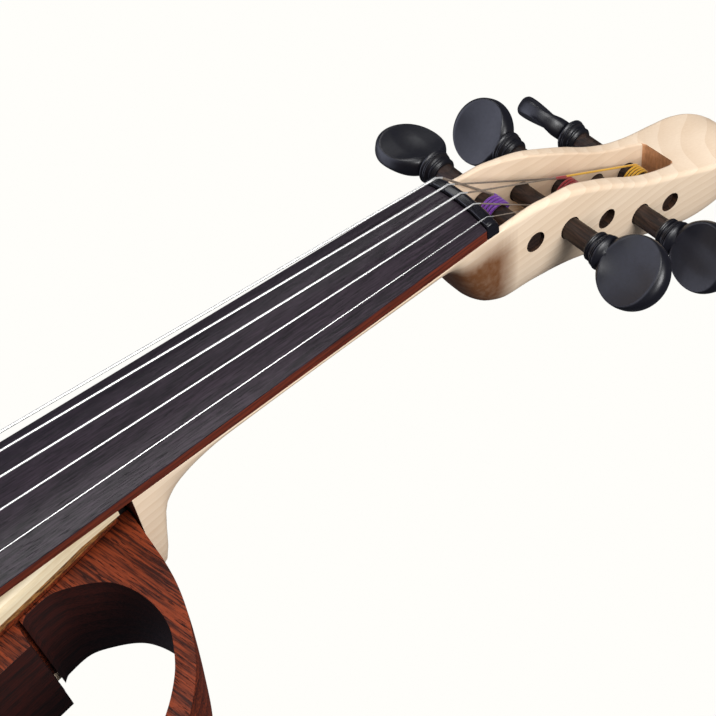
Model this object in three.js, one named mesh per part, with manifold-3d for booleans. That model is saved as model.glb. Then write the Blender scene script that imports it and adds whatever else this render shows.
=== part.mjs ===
// Five-string electric violin: maple neck and head, open mahogany frame, layered centre beam.
// Millimetres. +X runs along the strings to the head, +Y is the bass side, +Z is the string side.
// Built about the joint of board and nut, then set down with its origin under the middle.
import * as THREE from "three";
import { mergeVertices } from "three/addons/utils/BufferGeometryUtils.js";
import Module from "manifold-3d";

// Fits shared by all pieces
const GLUE = 0.25; // gap left at every glued or seated face
const RUNNING = 0.3; // clearance of pieces that turn or slide in each other
const OVERRUN = 5; // how far a cutter reaches past the face it cuts
const EDGE_ROUND = 1.6; // of the tailpiece and the chin rest
const ROUND_SIDES = 16;
const SMALL_SIDES = 10;

// Strings, from the bass side
const STRING_NAMES = ["c", "g", "d", "a", "e"];
const STRING_DIAMETERS = [1.1, 0.9, 0.85, 0.7, 0.45];
const NUT_SPREAD = 23.3;
const BRIDGE_SPREAD = 45;
const SCALE_LENGTH = 328;
const STRING_RISE_AT_NUT = 1.8;
const BRIDGE_CREST = 19.5;
const BRIDGE_ARCH_RADIUS = 42;
const WINDING_TURNS = 3;
const WINDING_GAP = 0.5;
const LOOP_STEPS = 24;
const STRING_SIDES = 6;
const STRING_TAIL_DEPTH = 1.6;
const WINDING_DIP_STEPS = 1.5; // loop steps from the last turn to the dip into the peg
const WINDING_DIP_SHARE = 0.35; // of a turn's pitch, from the last turn to the dip
const STRING_HOLE_CLEARANCE = 0.45;

// Fingerboard
const BOARD_TO_BRIDGE = 58;
const BOARD_LENGTH = SCALE_LENGTH - BOARD_TO_BRIDGE;
const BOARD_HALF_AT_NUT = 13.95;
const BOARD_HALF_AT_END = 24.75;
const BOARD_EDGE_AT_NUT = 4.2;
const BOARD_EDGE_AT_END = 2.6;
const BOARD_ARCH_RADIUS = 42;
const BOARD_ARCH_STEPS = 10;

// Nut
const NUT_LENGTH = 4.6;
const NUT_CREST_LENGTH = 2;
const NUT_BACK_DROP = 3.2;
const NUT_BOTTOM = 4.2;
const NUT_LAND = 0.25;

// Neck shaft and heel, from the nut to the heel's back
const NECK_LENGTH = 130.7;
const NECK_DEPTH = 13.3;
const HEEL_DEPTH = 47.6;
// share of neck length, share of neck depth, fullness of the underside
const NECK_SHAFT_SHARES = [
  [0.3, 0.98, 2.1],
  [0.6, 0.94, 2],
  [0.755, 0.93, 2.05],
  [0.81, 1.1, 2.15],
];
// share of neck length, share of heel depth, fullness of the underside
const HEEL_SHARES = [
  [0.87, 0.363, 2.4],
  [0.91, 0.441, 2.7],
  [0.928, 0.567, 3],
  [0.938, 0.756, 3.2],
  [0.947, 0.876, 3.4],
  [0.957, 0.96, 3.5],
  [0.972, 0.99, 3.5],
  [1, 1, 3.5],
];
const NECK_EDGE_ROUND = 0.3;

// Head with its pegbox
const HEAD_LENGTH = 125.5;
const HEAD_DROP = 64; // lowest point of the head below the board's edge
const HEAD_HALF = 14;
const HEAD_EDGE_ROUND = 1.8;
const CHIN_REACH = 18;
const CHIN_FULLNESS = 2.2;
const ARRIS_SHARE = 0.3; // of the round's radius, at the middle of its arc
// share of head length, share of head drop at the top, at the bottom, share of half width, fullness
const HEAD_SHARES = [
  [-0.05, 0.069, 0.405, 0.995, 2.5],
  [-0.01, 0.07, 0.515, 0.99, 2.9],
  [0.03, 0.07, 0.572, 0.995, 3.4],
  [0.08, 0.069, 0.582, 1, 3.8],
  [0.15, 0.075, 0.592, 1, 4.4],
  [0.21, 0.103, 0.625, 1, 5],
  [0.29, 0.152, 0.66, 0.99, 5.5],
  [0.37, 0.231, 0.72, 0.975, 6],
  [0.45, 0.32, 0.79, 0.965, 6],
  [0.53, 0.42, 0.86, 0.955, 6],
  [0.6, 0.492, 0.925, 0.93, 6],
  [0.675, 0.554, 0.975, 0.895, 6],
  [0.745, 0.606, 1, 0.875, 6],
  [0.81, 0.65, 0.99, 0.86, 5.5],
  [0.87, 0.682, 0.965, 0.83, 5],
  [0.925, 0.706, 0.9, 0.76, 4.4],
  [0.965, 0.73, 0.85, 0.62, 3.6],
  [0.988, 0.751, 0.81, 0.44, 3],
  [1, 0.772, 0.79, 0.25, 2.6],
];
const UNDERSIDE_STEPS = 12;

// Pegbox opening: share of head length, share of head half width, share of head drop at the floor
const PEGBOX_SHARES = [
  [0.043, 0.79, 0.38],
  [0.055, 0.82, 0.43],
  [0.135, 0.8, 0.485],
  [0.207, 0.757, 0.515],
  [0.335, 0.614, 0.59],
  [0.478, 0.564, 0.7],
  [0.598, 0.55, 0.79],
  [0.685, 0.514, 0.845],
  [0.703, 0.43, 0.86],
  [0.714, 0.25, 0.87],
];
const PEGBOX_MOUTH = 12;

// Pegs: name, place along the head, place below the board's edge, side of the handle
const PEGS = [
  { name: "c", along: 19.2, below: 19, side: 1, handleTurn: 0.25, landing: 8 },
  { name: "g", along: 50.9, below: 31.6, side: 1, handleTurn: -0.9, landing: 6.2 },
  { name: "d", along: 81.6, below: 45.5, side: 1, handleTurn: 0.9, landing: 5.2 },
  { name: "a", along: 34.1, below: 23.5, side: -1, handleTurn: -0.7, landing: -7.6 },
  { name: "e", along: 67.1, below: 41.1, side: -1, handleTurn: -1.05, landing: -5.4 },
];
const BASS_HANDLE_REACH = 47;
const TREBLE_HANDLE_REACH = 41;
const PEG_LENGTH = 56.5; // from the middle of the handle to the tip
const PEG_TIP_RADIUS = 3.3;
const PEG_SHANK_RADIUS = 3.8;
const PEG_COLLAR_RADIUS = 5.2;
const PEG_FLARE_RADIUS = 6.2;
const PEG_WAIST_RADIUS = 3.3;
const PEG_COLLAR_START = 17; // from the middle of the handle
const PEG_COLLAR_END = 11.3;
const HANDLE_RADIUS = 12;
const HANDLE_HALF_THICKNESS = 6;
const HANDLE_WAIST_HALF = 2.8;
const HANDLE_SCOOP_RADIUS = 14.5;
const HANDLE_SCOOP_SHIFT = 3;
const PEG_TIP_CHAMFER = 0.5;

// Body: its plane falls away from the board towards the tail
const BODY_TILT = 0.055; // radians
const BODY_RISE = -6; // frame plane at the nut
const BODY_FRONT = 131.5; // from the nut
const BODY_LENGTH = 355.5;
const FRAME_DEPTH = 36;
const UPPER_HALF = 83.5;
const WAIST_HALF = 56;
const LOWER_HALF = 103;
// outline of one side: share of body length, share of the half width
const UPPER_OUTLINE_SHARES = [
  [0.0011, 0.2515],
  [0.0042, 0.4096],
  [0.0093, 0.527],
  [0.0191, 0.6455],
  [0.0366, 0.784],
  [0.0661, 0.91],
  [0.1027, 0.982],
  [0.1421, 1],
  [0.1871, 0.976],
  [0.2321, 0.904],
  [0.2715, 0.808],
];
// on the bass side the band leaves the beam at a slant
const BASS_OUTLINE_SHARES = [
  [0.0028, 0.2455],
  [0.0098, 0.2874],
  [0.0197, 0.3473],
  [0.0323, 0.4311],
  [0.0464, 0.5269],
  [0.0619, 0.6287],
  [0.0802, 0.7365],
  [0.1027, 0.8323],
  [0.1308, 0.9078],
  [0.1617, 0.9461],
  [0.1927, 0.9401],
  [0.2264, 0.8982],
  [0.2715, 0.808],
];
const WAIST_OUTLINE_SHARES = [
  [0.3165, 1.071],
  [0.3671, 1],
  [0.4233, 1.018],
  [0.474, 1.116],
];
const LOWER_OUTLINE_SHARES = [
  [0.5246, 0.699],
  [0.5752, 0.806],
  [0.6315, 0.908],
  [0.6934, 0.981],
  [0.7553, 1],
  [0.8172, 0.966],
  [0.8734, 0.879],
  [0.9212, 0.738],
  [0.9578, 0.563],
  [0.9831, 0.369],
];
const FRAME_TAIL_STEP = 1.1; // of the frame's back end, from the beam
// rim of the upper opening, from the beam round the band and back along the inner rail
const UPPER_RIM_SHARES = [
  [0.1153, 0.299],
  [0.109, 0.268],
  [0.1027, 0.257],
  [0.083, 0.251],
  [0.0647, 0.284],
  [0.0489, 0.329],
  [0.0397, 0.378],
  [0.0329, 0.448],
  [0.0301, 0.531],
  [0.0315, 0.598],
  [0.0363, 0.656],
  [0.0506, 0.754],
  [0.0759, 0.85],
  [0.1083, 0.91],
  [0.1421, 0.926],
  [0.1814, 0.904],
  [0.218, 0.844],
  [0.2546, 0.754],
  [0.2855, 0.677],
  [0.308, 0.587],
  [0.3122, 0.515],
  [0.2996, 0.461],
  [0.2714, 0.441],
  [0.2264, 0.425],
  [0.1786, 0.395],
  [0.1156, 0.36],
];
const BASS_RIM_SHARES = [
  [0.1153, 0.299],
  [0.109, 0.268],
  [0.1027, 0.257],
  [0.0816, 0.2695],
  [0.0689, 0.3174],
  [0.0647, 0.3772],
  [0.0661, 0.4431],
  [0.0759, 0.527],
  [0.09, 0.6228],
  [0.1083, 0.7186],
  [0.1308, 0.8],
  [0.1561, 0.8443],
  [0.1814, 0.8503],
  [0.2124, 0.8204],
  [0.2433, 0.7605],
  [0.2743, 0.6826],
  [0.301, 0.5988],
  [0.3122, 0.515],
  [0.2996, 0.461],
  [0.2714, 0.441],
  [0.2264, 0.425],
  [0.1786, 0.395],
  [0.1156, 0.36],
];
// rim of the lower opening: its front end goes with the waist
const WAIST_RIM_SHARES = [
  [0.4712, 0.828],
  [0.4571, 0.901],
  [0.4515, 0.993],
  [0.474, 1.052],
];
const LOWER_RIM_SHARES = [
  [0.519, 0.617],
  [0.569, 0.715],
  [0.6259, 0.818],
  [0.6878, 0.894],
  [0.7525, 0.915],
  [0.8101, 0.885],
  [0.8537, 0.815],
  [0.8762, 0.7],
  [0.8706, 0.57],
  [0.8453, 0.47],
  [0.8059, 0.425],
  [0.7525, 0.42],
  [0.6681, 0.43],
  [0.5809, 0.44],
  [0.5049, 0.44],
];
const OUTLINE_STEPS = 3; // straight steps between two outline points
const KERF_PLACE = 40.9; // saw cut through the inner rail, from the body's front
const KERF_WIDTH = 1.3;

// Centre beam: spruce on mahogany on maple
const BEAM_HALF = 33;
const TONGUE_HALF = 13.4;
const BEAM_START = 3.6; // the spruce starts this far behind the body's front
const SPRUCE_THICKNESS = 6.6;
const CORE_RISE = 3.2; // of the core above the frame
const BACK_THICKNESS = 4;
const SPRUCE_EDGE_ROUND = 3.6;
const BEAM_FRONT_HALF = 14.9;
const BEAM_SHARES = [
  [0.0717, 0.57],
  [0.128, 0.667],
  [0.2349, 0.818],
  [0.3755, 0.939],
  [0.5527, 1],
  [0.7271, 0.939],
  [0.8678, 0.758],
  [1, 0.606],
];

// Dowels that hold the heel to the beam
const DOWEL_RADIUS = 4;
const DOWEL_IN_HEEL = 6;
const DOWEL_IN_BEAM = 22;
const DOWEL_PLACES = [10, 25]; // below the frame's plane

// Bridge with its pickup strip
const BRIDGE_HALF_FOOT = 20.5;
const BRIDGE_FOOT_LENGTH = 13;
const BRIDGE_FOOT_THICKNESS = 4.4;
const BRIDGE_CROWN_THICKNESS = 1.6;
const BRIDGE_HALF_CROWN = 25;
const BRIDGE_WAIST_HALF = 16;
const BRIDGE_EYE_RADIUS = 4;
const BRIDGE_HEART_RADIUS = 3.6;
const STRING_NOTCH_SHARE = 0.3; // of the string's diameter that lies in the wood
// levels as shares of the bridge's height
const BRIDGE_LEVEL_SHARES = {
  toe: 0.05,
  archSide: 0.09,
  ankle: 0.16,
  archTop: 0.2,
  waist: 0.36,
  heart: 0.44,
  eye: 0.5,
  shoulder: 0.52,
  crown: 0.72,
};
const ANKLE_INSET_SHARE = 0.35; // of the foot's length
const ARCH_INSET_SHARE = 1.1; // of the foot's length
const EYE_SIDE_SHARE = 0.72; // of the waist
const PICKUP_LENGTH = 40;
const PICKUP_WIDTH = 3.2;
const PICKUP_THICKNESS = 1.4;
const LEAD_DIAMETER = 2;
const LEAD_BORE = 3.2;
const LEAD_DROP = 16; // depth of the bored channel below the spruce
const LEAD_SIDE = 12; // of the lead's way down, from the middle
const LEAD_BEND_SHARE = 0.02; // of the way to the cavity

// Tailpiece and its fine tuners
const AFTER_LENGTH = 56; // of the strings, from the bridge to the tailpiece
const TAILPIECE_START = SCALE_LENGTH + AFTER_LENGTH; // from the nut
const TAIL_GAP = 11; // from the tailpiece to the tail edge
const TAILPIECE_LENGTH = BODY_FRONT + BODY_LENGTH - TAIL_GAP - TAILPIECE_START;
const TAILPIECE_HALF_WIDE = 23;
const TAILPIECE_HALF_NARROW = 10.5;
const TAILPIECE_THICKNESS = 7;
const TAILPIECE_TOP = 0.6; // of the front edge, above the board's edge
// share of the length, share of the wide half width, share of the narrow half width
const TAILPIECE_SHARES = [
  [0, 0.9, 0],
  [0.05, 1, 0],
  [0.3, 0.93, 0],
  [0.65, 0, 1.35],
  [0.96, 0, 1],
  [1, 0, 0.8],
];
const TAILPIECE_END_DROP = 15.4; // of its back edge below its front edge
const TAILPIECE_SLOPE = Math.asin(TAILPIECE_END_DROP / TAILPIECE_LENGTH);
const TAILPIECE_FRET_RISE = 1.3;
const TAILPIECE_FRET_LENGTH = 2.4;
const TAILPIECE_SPREAD = 34;
const TUNER_AXLE_PLACE = 10.5; // behind the tailpiece's front edge
const TUNER_AXLE_DEPTH = 4.4;
const TUNER_AXLE_RADIUS = 0.8;
const TUNER_AXLE_HALF = 21.85;
const TUNER_SCREW_PLACE = 22;
const TUNER_SLOT_WIDTH = 3.4;
const TUNER_SLOT_FRONT = 5.6;
const TUNER_SLOT_BACK = 16;
const LEVER_WIDTH = 2.6;
const LEVER_LENGTH = 4;
const LEVER_RISE = 2.6;
const LEVER_ARM_THICKNESS = 2;
const LEVER_ARM_GAP = 0.6;
const LEVER_ARM_END = 25;
const SCREW_SHANK_RADIUS = 1.3;
const SCREW_HEAD_RADIUS = 3;
const SCREW_HEAD_HEIGHT = 4.2;
const SCREW_HEAD_LIFT = 3.2;
const SCREW_TIP_GAP = 0.15; // between the screw's tip and the lever's arm
const BALL_RADIUS = 1.5;
const TAIL_LOOP_RADIUS = 1;
const TAIL_LOOP_HALF = 5.5;
const LOOP_BORE_DEPTH = 10;
const LOOP_BOW_STEPS = 6;
const LOOP_SIDES = 8;
const LOOP_DROP_SHARE = 1.6; // of the loop's radius, where it leaves the saddle

// Saddle and end button at the tail
const SADDLE_LENGTH = 5;
const SADDLE_HALF = 15;
const SADDLE_RISE = 4;
// of the saddle's length: its crest, and where the loop leaves it
const SADDLE_CREST_SHARES = [0.3, 0.7];
const LOOP_LEAVE_SHARE = 0.15;
const BUTTON_DROP = 12;
const BUTTON_HEAD_RADIUS = 6.5;
const BUTTON_NECK_RADIUS = 4;
const BUTTON_SHANK_RADIUS = 3.6;
const BUTTON_SHANK_LENGTH = 18;
const BUTTON_NECK_LENGTH = 4.5;
const BUTTON_HEAD_LENGTH = 5;

// Chin rest with its clamp
const REST_LIFT = 20; // underside above the frame's plane
const REST_THICKNESS = 8.5;
const REST_FROM = 32; // treble edge, from the middle
const REST_TO = 88; // bass edge
const REST_LENGTH = 62;
const REST_BACK = 1; // how far it stays inside the tail edge
// share of the length, share of the reach to the bass, share of the reach to the treble
const REST_SHARES = [
  [0, 0, 0.8],
  [0.22, 0, 1],
  [0.38, 0, 0.5],
  [0.36, 0.12, 0],
  [0.62, 0.3, 0],
  [1, 0.5, 0],
  [1, 0.72, 0],
  [0.75, 0.93, 0],
  [0.45, 1, 0],
  [0.22, 0.92, 0],
  [0.05, 0.65, 0],
  [0, 0.3, 0],
];
const CUP_ALONG_SHARE = 0.5; // of the rest's length
const CUP_ACROSS_SHARE = 0.33; // of its width, from the bass edge
const CUP_RADIUS = 70;
const CUP_DEPTH = 5.5;
const FOOT_HALF_WIDTH = 5;
const FOOT_LENGTH = 12;
const FOOT_PLACES = [-27, 31]; // from the middle
const FOOT_INSET = 2;
const CORK_THICKNESS = 2;
const CLAMP_HALF = 15.5; // of the two barrels from the middle
const BARREL_RADIUS = 3.6;
const BARREL_LENGTH = 24;
const POST_RADIUS = 1.7;
const BARREL_TOP = 9; // of the barrels below the rest's underside
const POST_GRIP = 6; // of each post inside its barrel
const CLAMP_STANDOFF = 1; // of the barrels from the tail edge
const CLAMP_PLATE_THICKNESS = 2;
const CLAMP_PLATE_LENGTH = 14;
const POST_TAB_LENGTH = 8;
const POST_TAB_THICKNESS = 3;

// Controls in the treble frame block
const CAVITY_FROM = 20; // from the tail
const CAVITY_LENGTH = 21;
const CAVITY_HALF_FROM = 31;
const CAVITY_WIDTH = 22;
const CAVITY_ROOF = 5;
const COVER_THICKNESS = 2;
const COVER_LIP = 3.2;
const COVER_SCREW_RADIUS = 0.9;
const COVER_SCREW_HEAD_RADIUS = 1.9;
const COVER_SCREW_LENGTH = 9;
const POT_RADIUS = 6.5;
const POT_HEIGHT = 9;
const POT_BUSH_RADIUS = 3.5;
const POT_SHAFT_RADIUS = 3;
const POT_SHAFT_REACH = 9; // above the frame
const KNOB_RADIUS = 8;
const KNOB_HEIGHT = 12;
const KNOB_WALL = 2;
const KNOB_LIFT = 1;
const KNOB_SIDES = 24;
const KNOB_GROOVES = 12;
const KNOB_GROOVE_RADIUS = 0.8;
const KNOB_GROOVE_SIDES = 6;
const SWITCH_LENGTH = 12;
const SWITCH_WIDTH = 7;
const SWITCH_DEPTH = 6;
const SWITCH_TRAVEL = 4;
const SLIDER_LENGTH = 4;
const SLIDER_WIDTH = 3;
const SLIDER_RISE = 3;
const JACK_RADIUS = 5.5;
const JACK_BORE = 3.3;
const JACK_LENGTH = 12.5;
const JACK_FLANGE_RADIUS = 7.5;
const JACK_FLANGE = 2;
const JACK_DROP = 18;

const wasm = await Module();
wasm.setup();

// A closed geometry as a solid that can be joined and cut.
function solid(geometry) {
  const plain = geometry.index ? geometry.toNonIndexed() : geometry.clone();
  plain.deleteAttribute("normal");
  plain.deleteAttribute("uv");
  const merged = mergeVertices(plain);
  return new wasm.Manifold(
    new wasm.Mesh({
      numProp: 3,
      vertProperties: merged.attributes.position.array,
      triVerts: new Uint32Array(merged.index.array),
    }),
  );
}

// The same solid as a geometry with flat faces.
function geometryOf(body) {
  const data = body.getMesh();
  const places = new Float32Array(data.numVert * 3);
  for (let i = 0; i < data.numVert; i++) {
    const start = i * data.numProp;
    places.set(data.vertProperties.subarray(start, start + 3), i * 3);
  }
  const indexed = new THREE.BufferGeometry();
  indexed.setAttribute("position", new THREE.BufferAttribute(places, 3));
  indexed.setIndex(new THREE.BufferAttribute(data.triVerts, 1));
  const geometry = indexed.toNonIndexed();
  geometry.computeVertexNormals();
  return geometry;
}

function moved(geometry, x, y, z) {
  return geometry.translate(x, y, z);
}

// A box between two corners.
function block(low, high) {
  const size = high.map((value, axis) => value - low[axis]);
  const middle = high.map((value, axis) => (value + low[axis]) / 2);
  return solid(moved(new THREE.BoxGeometry(...size), ...middle));
}

// A round rod between two points, with its own radius at each end.
function rod(from, to, radiusFrom, radiusTo = radiusFrom, sides = SMALL_SIDES) {
  const start = new THREE.Vector3(...from);
  const end = new THREE.Vector3(...to);
  const along = end.clone().sub(start);
  const geometry = new THREE.CylinderGeometry(radiusTo, radiusFrom, along.length(), sides);
  const turn = new THREE.Quaternion().setFromUnitVectors(
    new THREE.Vector3(0, 1, 0),
    along.clone().normalize(),
  );
  geometry.applyQuaternion(turn);
  const middle = start.add(end).multiplyScalar(0.5);
  return solid(moved(geometry, middle.x, middle.y, middle.z));
}

// Rings of equally many points joined into one closed skin, with flat ends.
function lofted(rings) {
  const count = rings[0].length;
  const places = [];
  const addTriangle = (a, b, c) => places.push(...a, ...b, ...c);
  for (let i = 0; i + 1 < rings.length; i++) {
    for (let k = 0; k < count; k++) {
      const next = (k + 1) % count;
      addTriangle(rings[i][k], rings[i + 1][k], rings[i + 1][next]);
      addTriangle(rings[i][k], rings[i + 1][next], rings[i][next]);
    }
  }
  const last = rings[rings.length - 1];
  for (let k = 1; k + 1 < count; k++) {
    addTriangle(rings[0][0], rings[0][k], rings[0][k + 1]);
    addTriangle(last[0], last[k + 1], last[k]);
  }
  const geometry = new THREE.BufferGeometry();
  geometry.setAttribute("position", new THREE.Float32BufferAttribute(places, 3));
  const body = solid(geometry);
  return body.volume() < 0 ? solid(turnedInsideOut(geometry)) : body;
}

function turnedInsideOut(geometry) {
  const places = geometry.attributes.position.array.slice();
  for (let i = 0; i < places.length; i += 9) {
    const second = places.slice(i + 3, i + 6);
    places.copyWithin(i + 3, i + 6, i + 9);
    places.set(second, i + 6);
  }
  const turned = new THREE.BufferGeometry();
  turned.setAttribute("position", new THREE.BufferAttribute(places, 3));
  return turned;
}

// An outline in plan raised between two heights; a round takes both arrises.
function raised(points, bottom, top, round = 0, holes = []) {
  const shape = new THREE.Shape(points.map(([x, y]) => new THREE.Vector2(x, y)));
  for (const hole of holes) {
    shape.holes.push(new THREE.Path(hole.map(([x, y]) => new THREE.Vector2(x, y))));
  }
  const geometry = new THREE.ExtrudeGeometry(shape, {
    depth: top - bottom - 2 * round,
    bevelEnabled: round > 0,
    bevelThickness: round,
    bevelSize: round,
    bevelOffset: -round,
    bevelSegments: 2,
    curveSegments: 1,
  });
  return solid(moved(geometry, 0, 0, bottom + round));
}

// A smooth line through points, in short straight steps.
function smooth(points, steps = OUTLINE_STEPS) {
  const curve = new THREE.SplineCurve(points.map(([x, y]) => new THREE.Vector2(x, y)));
  return curve.getPoints((points.length - 1) * steps).map((point) => [point.x, point.y]);
}

// A profile of radius and height turned about the Y axis.
function turned(profile, sides = ROUND_SIDES) {
  const points = profile.map(([radius, height]) => new THREE.Vector2(radius, height));
  return solid(new THREE.LatheGeometry(points, sides));
}

// A tube of one radius that follows points without twisting.
function tube(points, radius, sides = STRING_SIDES) {
  const path = points.map((point) => new THREE.Vector3(...point));
  const rings = [];
  let side = null;
  path.forEach((point, i) => {
    const before = path[Math.max(i - 1, 0)];
    const after = path[Math.min(i + 1, path.length - 1)];
    const ahead = after.clone().sub(before).normalize();
    if (!side) {
      const guide = new THREE.Vector3(0, 1, 0);
      side = guide.sub(ahead.clone().multiplyScalar(guide.dot(ahead))).normalize();
    } else {
      side.sub(ahead.clone().multiplyScalar(side.dot(ahead))).normalize();
    }
    const up = ahead.clone().cross(side);
    const ring = [];
    for (let k = 0; k < sides; k++) {
      const angle = (k / sides) * 2 * Math.PI;
      const place = point.clone();
      place.addScaledVector(side, radius * Math.cos(angle));
      place.addScaledVector(up, radius * Math.sin(angle));
      ring.push(place.toArray());
    }
    rings.push(ring);
  });
  return lofted(rings);
}

// Groups: the board frame, the tilted body and the sloping tailpiece
const violin = new THREE.Group();
const body = new THREE.Group();
body.position.z = BODY_RISE;
body.rotation.y = -BODY_TILT;
violin.add(body);
violin.updateMatrixWorld(true);

const wood = (color, roughness) => ({ color, roughness, metalness: 0 });
const FINISHES = {
  maple: wood("#dcc19c", 0.5),
  board: wood("#3a2c35", 0.45),
  ebony: wood("#16141a", 0.35),
  shank: wood("#17151b", 0.4),
  spruce: wood("#ead9b8", 0.5),
  core: wood("#a8703f", 0.55),
  mahogany: wood("#8a4a26", 0.4),
  bridge: wood("#cfa86e", 0.6),
  plastic: wood("#1b1b1d", 0.45),
  cork: wood("#a9855a", 0.9),
  steel: { color: "#c9ccd0", roughness: 0.3, metalness: 1 },
  brass: { color: "#b8964f", roughness: 0.35, metalness: 1 },
  nylon: wood("#202022", 0.4),
};


function place(name, shape, finish, group = violin) {
  const mesh = new THREE.Mesh(geometryOf(shape), new THREE.MeshStandardMaterial(FINISHES[finish]));
  mesh.name = name;
  group.add(mesh);
  return mesh;
}

// Points of the board frame in the body's own frame, and back.
const intoBody = body.matrixWorld.clone().invert();

function toBody(point) {
  return new THREE.Vector3(...point).applyMatrix4(intoBody).toArray();
}

function fromBody(point) {
  return new THREE.Vector3(...point).applyMatrix4(body.matrixWorld).toArray();
}

// The solid of one frame seen from the other: a group's matrix as 16 numbers.
function carried(shape, matrix) {
  return shape.transform(matrix.elements.slice());
}

// Fingerboard, its arch and its taper
function boardHalf(x) {
  const share = Math.min(Math.max(-x / BOARD_LENGTH, 0), 1);
  return BOARD_HALF_AT_NUT + (BOARD_HALF_AT_END - BOARD_HALF_AT_NUT) * share;
}

function boardEdge(x) {
  const share = Math.min(Math.max(-x / BOARD_LENGTH, 0), 1);
  return BOARD_EDGE_AT_NUT + (BOARD_EDGE_AT_END - BOARD_EDGE_AT_NUT) * share;
}

function boardArch(y, half) {
  return Math.sqrt(BOARD_ARCH_RADIUS ** 2 - y ** 2) - Math.sqrt(BOARD_ARCH_RADIUS ** 2 - half ** 2);
}

function boardRing(x) {
  const half = boardHalf(x);
  const ring = [];
  for (let i = 0; i <= BOARD_ARCH_STEPS; i++) {
    const y = half * ((2 * i) / BOARD_ARCH_STEPS - 1);
    ring.push([x, y, boardArch(y, half)]);
  }
  ring.push([x, half, -boardEdge(x)], [x, -half, -boardEdge(x)]);
  return ring;
}

place("fingerboard", lofted([boardRing(-BOARD_LENGTH), boardRing(-GLUE)]), "board");

// Where each string crosses the nut and the bridge
function stringSide(index, spread) {
  return spread * (0.5 - index / (STRING_NAMES.length - 1));
}

function nutPoint(index, x) {
  const y = stringSide(index, NUT_SPREAD);
  return [x, y, boardArch(y, BOARD_HALF_AT_NUT) + STRING_RISE_AT_NUT];
}

function bridgePoint(index) {
  const y = stringSide(index, BRIDGE_SPREAD);
  const drop = BRIDGE_ARCH_RADIUS - Math.sqrt(BRIDGE_ARCH_RADIUS ** 2 - y ** 2);
  return [-SCALE_LENGTH, y, BRIDGE_CREST - drop];
}

// Tailpiece group: its front edge at the strings' level, sloping down to the tail
const tail = new THREE.Group();
tail.position.set(-TAILPIECE_START, 0, TAILPIECE_TOP);
tail.rotation.y = -TAILPIECE_SLOPE;
violin.add(tail);
violin.updateMatrixWorld(true);

function fromTail(point) {
  return new THREE.Vector3(...point).applyMatrix4(tail.matrixWorld).toArray();
}

// A peg's shank radius at a distance from the middle of its handle
function shankRadius(distance) {
  const share = (distance - PEG_COLLAR_START) / (PEG_LENGTH - PEG_COLLAR_START);
  return PEG_SHANK_RADIUS + (PEG_TIP_RADIUS - PEG_SHANK_RADIUS) * share;
}

function handleReach(peg) {
  return peg.side > 0 ? BASS_HANDLE_REACH : TREBLE_HANDLE_REACH;
}

// The way of one string: ball, fret, bridge, nut, then its turns on the peg and into the peg's hole
function stringPoints(index) {
  const peg = PEGS.find((one) => one.name === STRING_NAMES[index]);
  const diameter = STRING_DIAMETERS[index];
  const tailSide = stringSide(index, TAILPIECE_SPREAD);
  const ballFront = -TUNER_AXLE_PLACE + BALL_RADIUS - LEVER_LENGTH / 2;
  const lift = TAILPIECE_FRET_RISE + diameter / 2 + RUNNING;
  const hookLift = LEVER_RISE / 2;
  const points = [
    fromTail([ballFront, tailSide, hookLift]),
    fromTail([ballFront + diameter, tailSide, hookLift]),
    fromTail([-TAILPIECE_FRET_LENGTH, tailSide, lift]),
    fromTail([0, tailSide, lift]),
    bridgePoint(index),
    nutPoint(index, 0),
    nutPoint(index, NUT_CREST_LENGTH),
  ];
  const [nutX, nutY, nutZ] = nutPoint(index, NUT_LENGTH);
  const leaving = [nutX, nutY, nutZ - NUT_BACK_DROP / 2];
  points.push(leaving);
  // the tangent from the nut onto the winding, then the winding itself
  const radius = shankRadius(handleReach(peg) - peg.side * peg.landing) + diameter / 2 + RUNNING;
  const dx = peg.along - leaving[0];
  const dz = -peg.below - leaving[2];
  const first = Math.atan2(dx, dz) - Math.acos(-radius / Math.hypot(dx, dz));
  const pitch = diameter + WINDING_GAP;
  const steps = WINDING_TURNS * LOOP_STEPS;
  for (let i = 0; i <= steps; i++) {
    const angle = first + (i / LOOP_STEPS) * 2 * Math.PI;
    const y = peg.landing - peg.side * pitch * (i / LOOP_STEPS);
    points.push([
      peg.along + radius * Math.sin(angle),
      y,
      -peg.below + radius * Math.cos(angle),
    ]);
  }
  // past the last turn the string dips square into the peg
  const last = first + 2 * Math.PI * (WINDING_TURNS + WINDING_DIP_STEPS / LOOP_STEPS);
  const endSide = peg.landing - peg.side * pitch * (WINDING_TURNS + WINDING_DIP_SHARE);
  for (const depth of [diameter, diameter + STRING_TAIL_DEPTH]) {
    points.push([
      peg.along + (radius - depth) * Math.sin(last),
      endSide,
      -peg.below + (radius - depth) * Math.cos(last),
    ]);
  }
  return { points, peg, last, endSide, radius };
}

const strings = STRING_NAMES.map((name, index) => {
  const way = stringPoints(index);
  const diameter = STRING_DIAMETERS[index];
  const shape = tube(way.points, diameter / 2);
  place("string_" + name, shape, "steel");
  return { ...way, name, diameter, shape };
});

// The least gap of each winding to itself, from turn to turn
for (const { name, diameter, points, peg } of strings) {
  const turns = points.slice(-2 - WINDING_TURNS * LOOP_STEPS - 1);
  let least = Infinity;
  turns.forEach((a, i) => {
    turns.slice(i + LOOP_STEPS / 2).forEach((b) => {
      least = Math.min(least, Math.hypot(...a.map((value, axis) => value - b[axis])) - diameter);
    });
  });
  console.log(`string_${name} on peg_${peg.name}: least gap to itself ${least.toFixed(2)} mm`);
}

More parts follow.
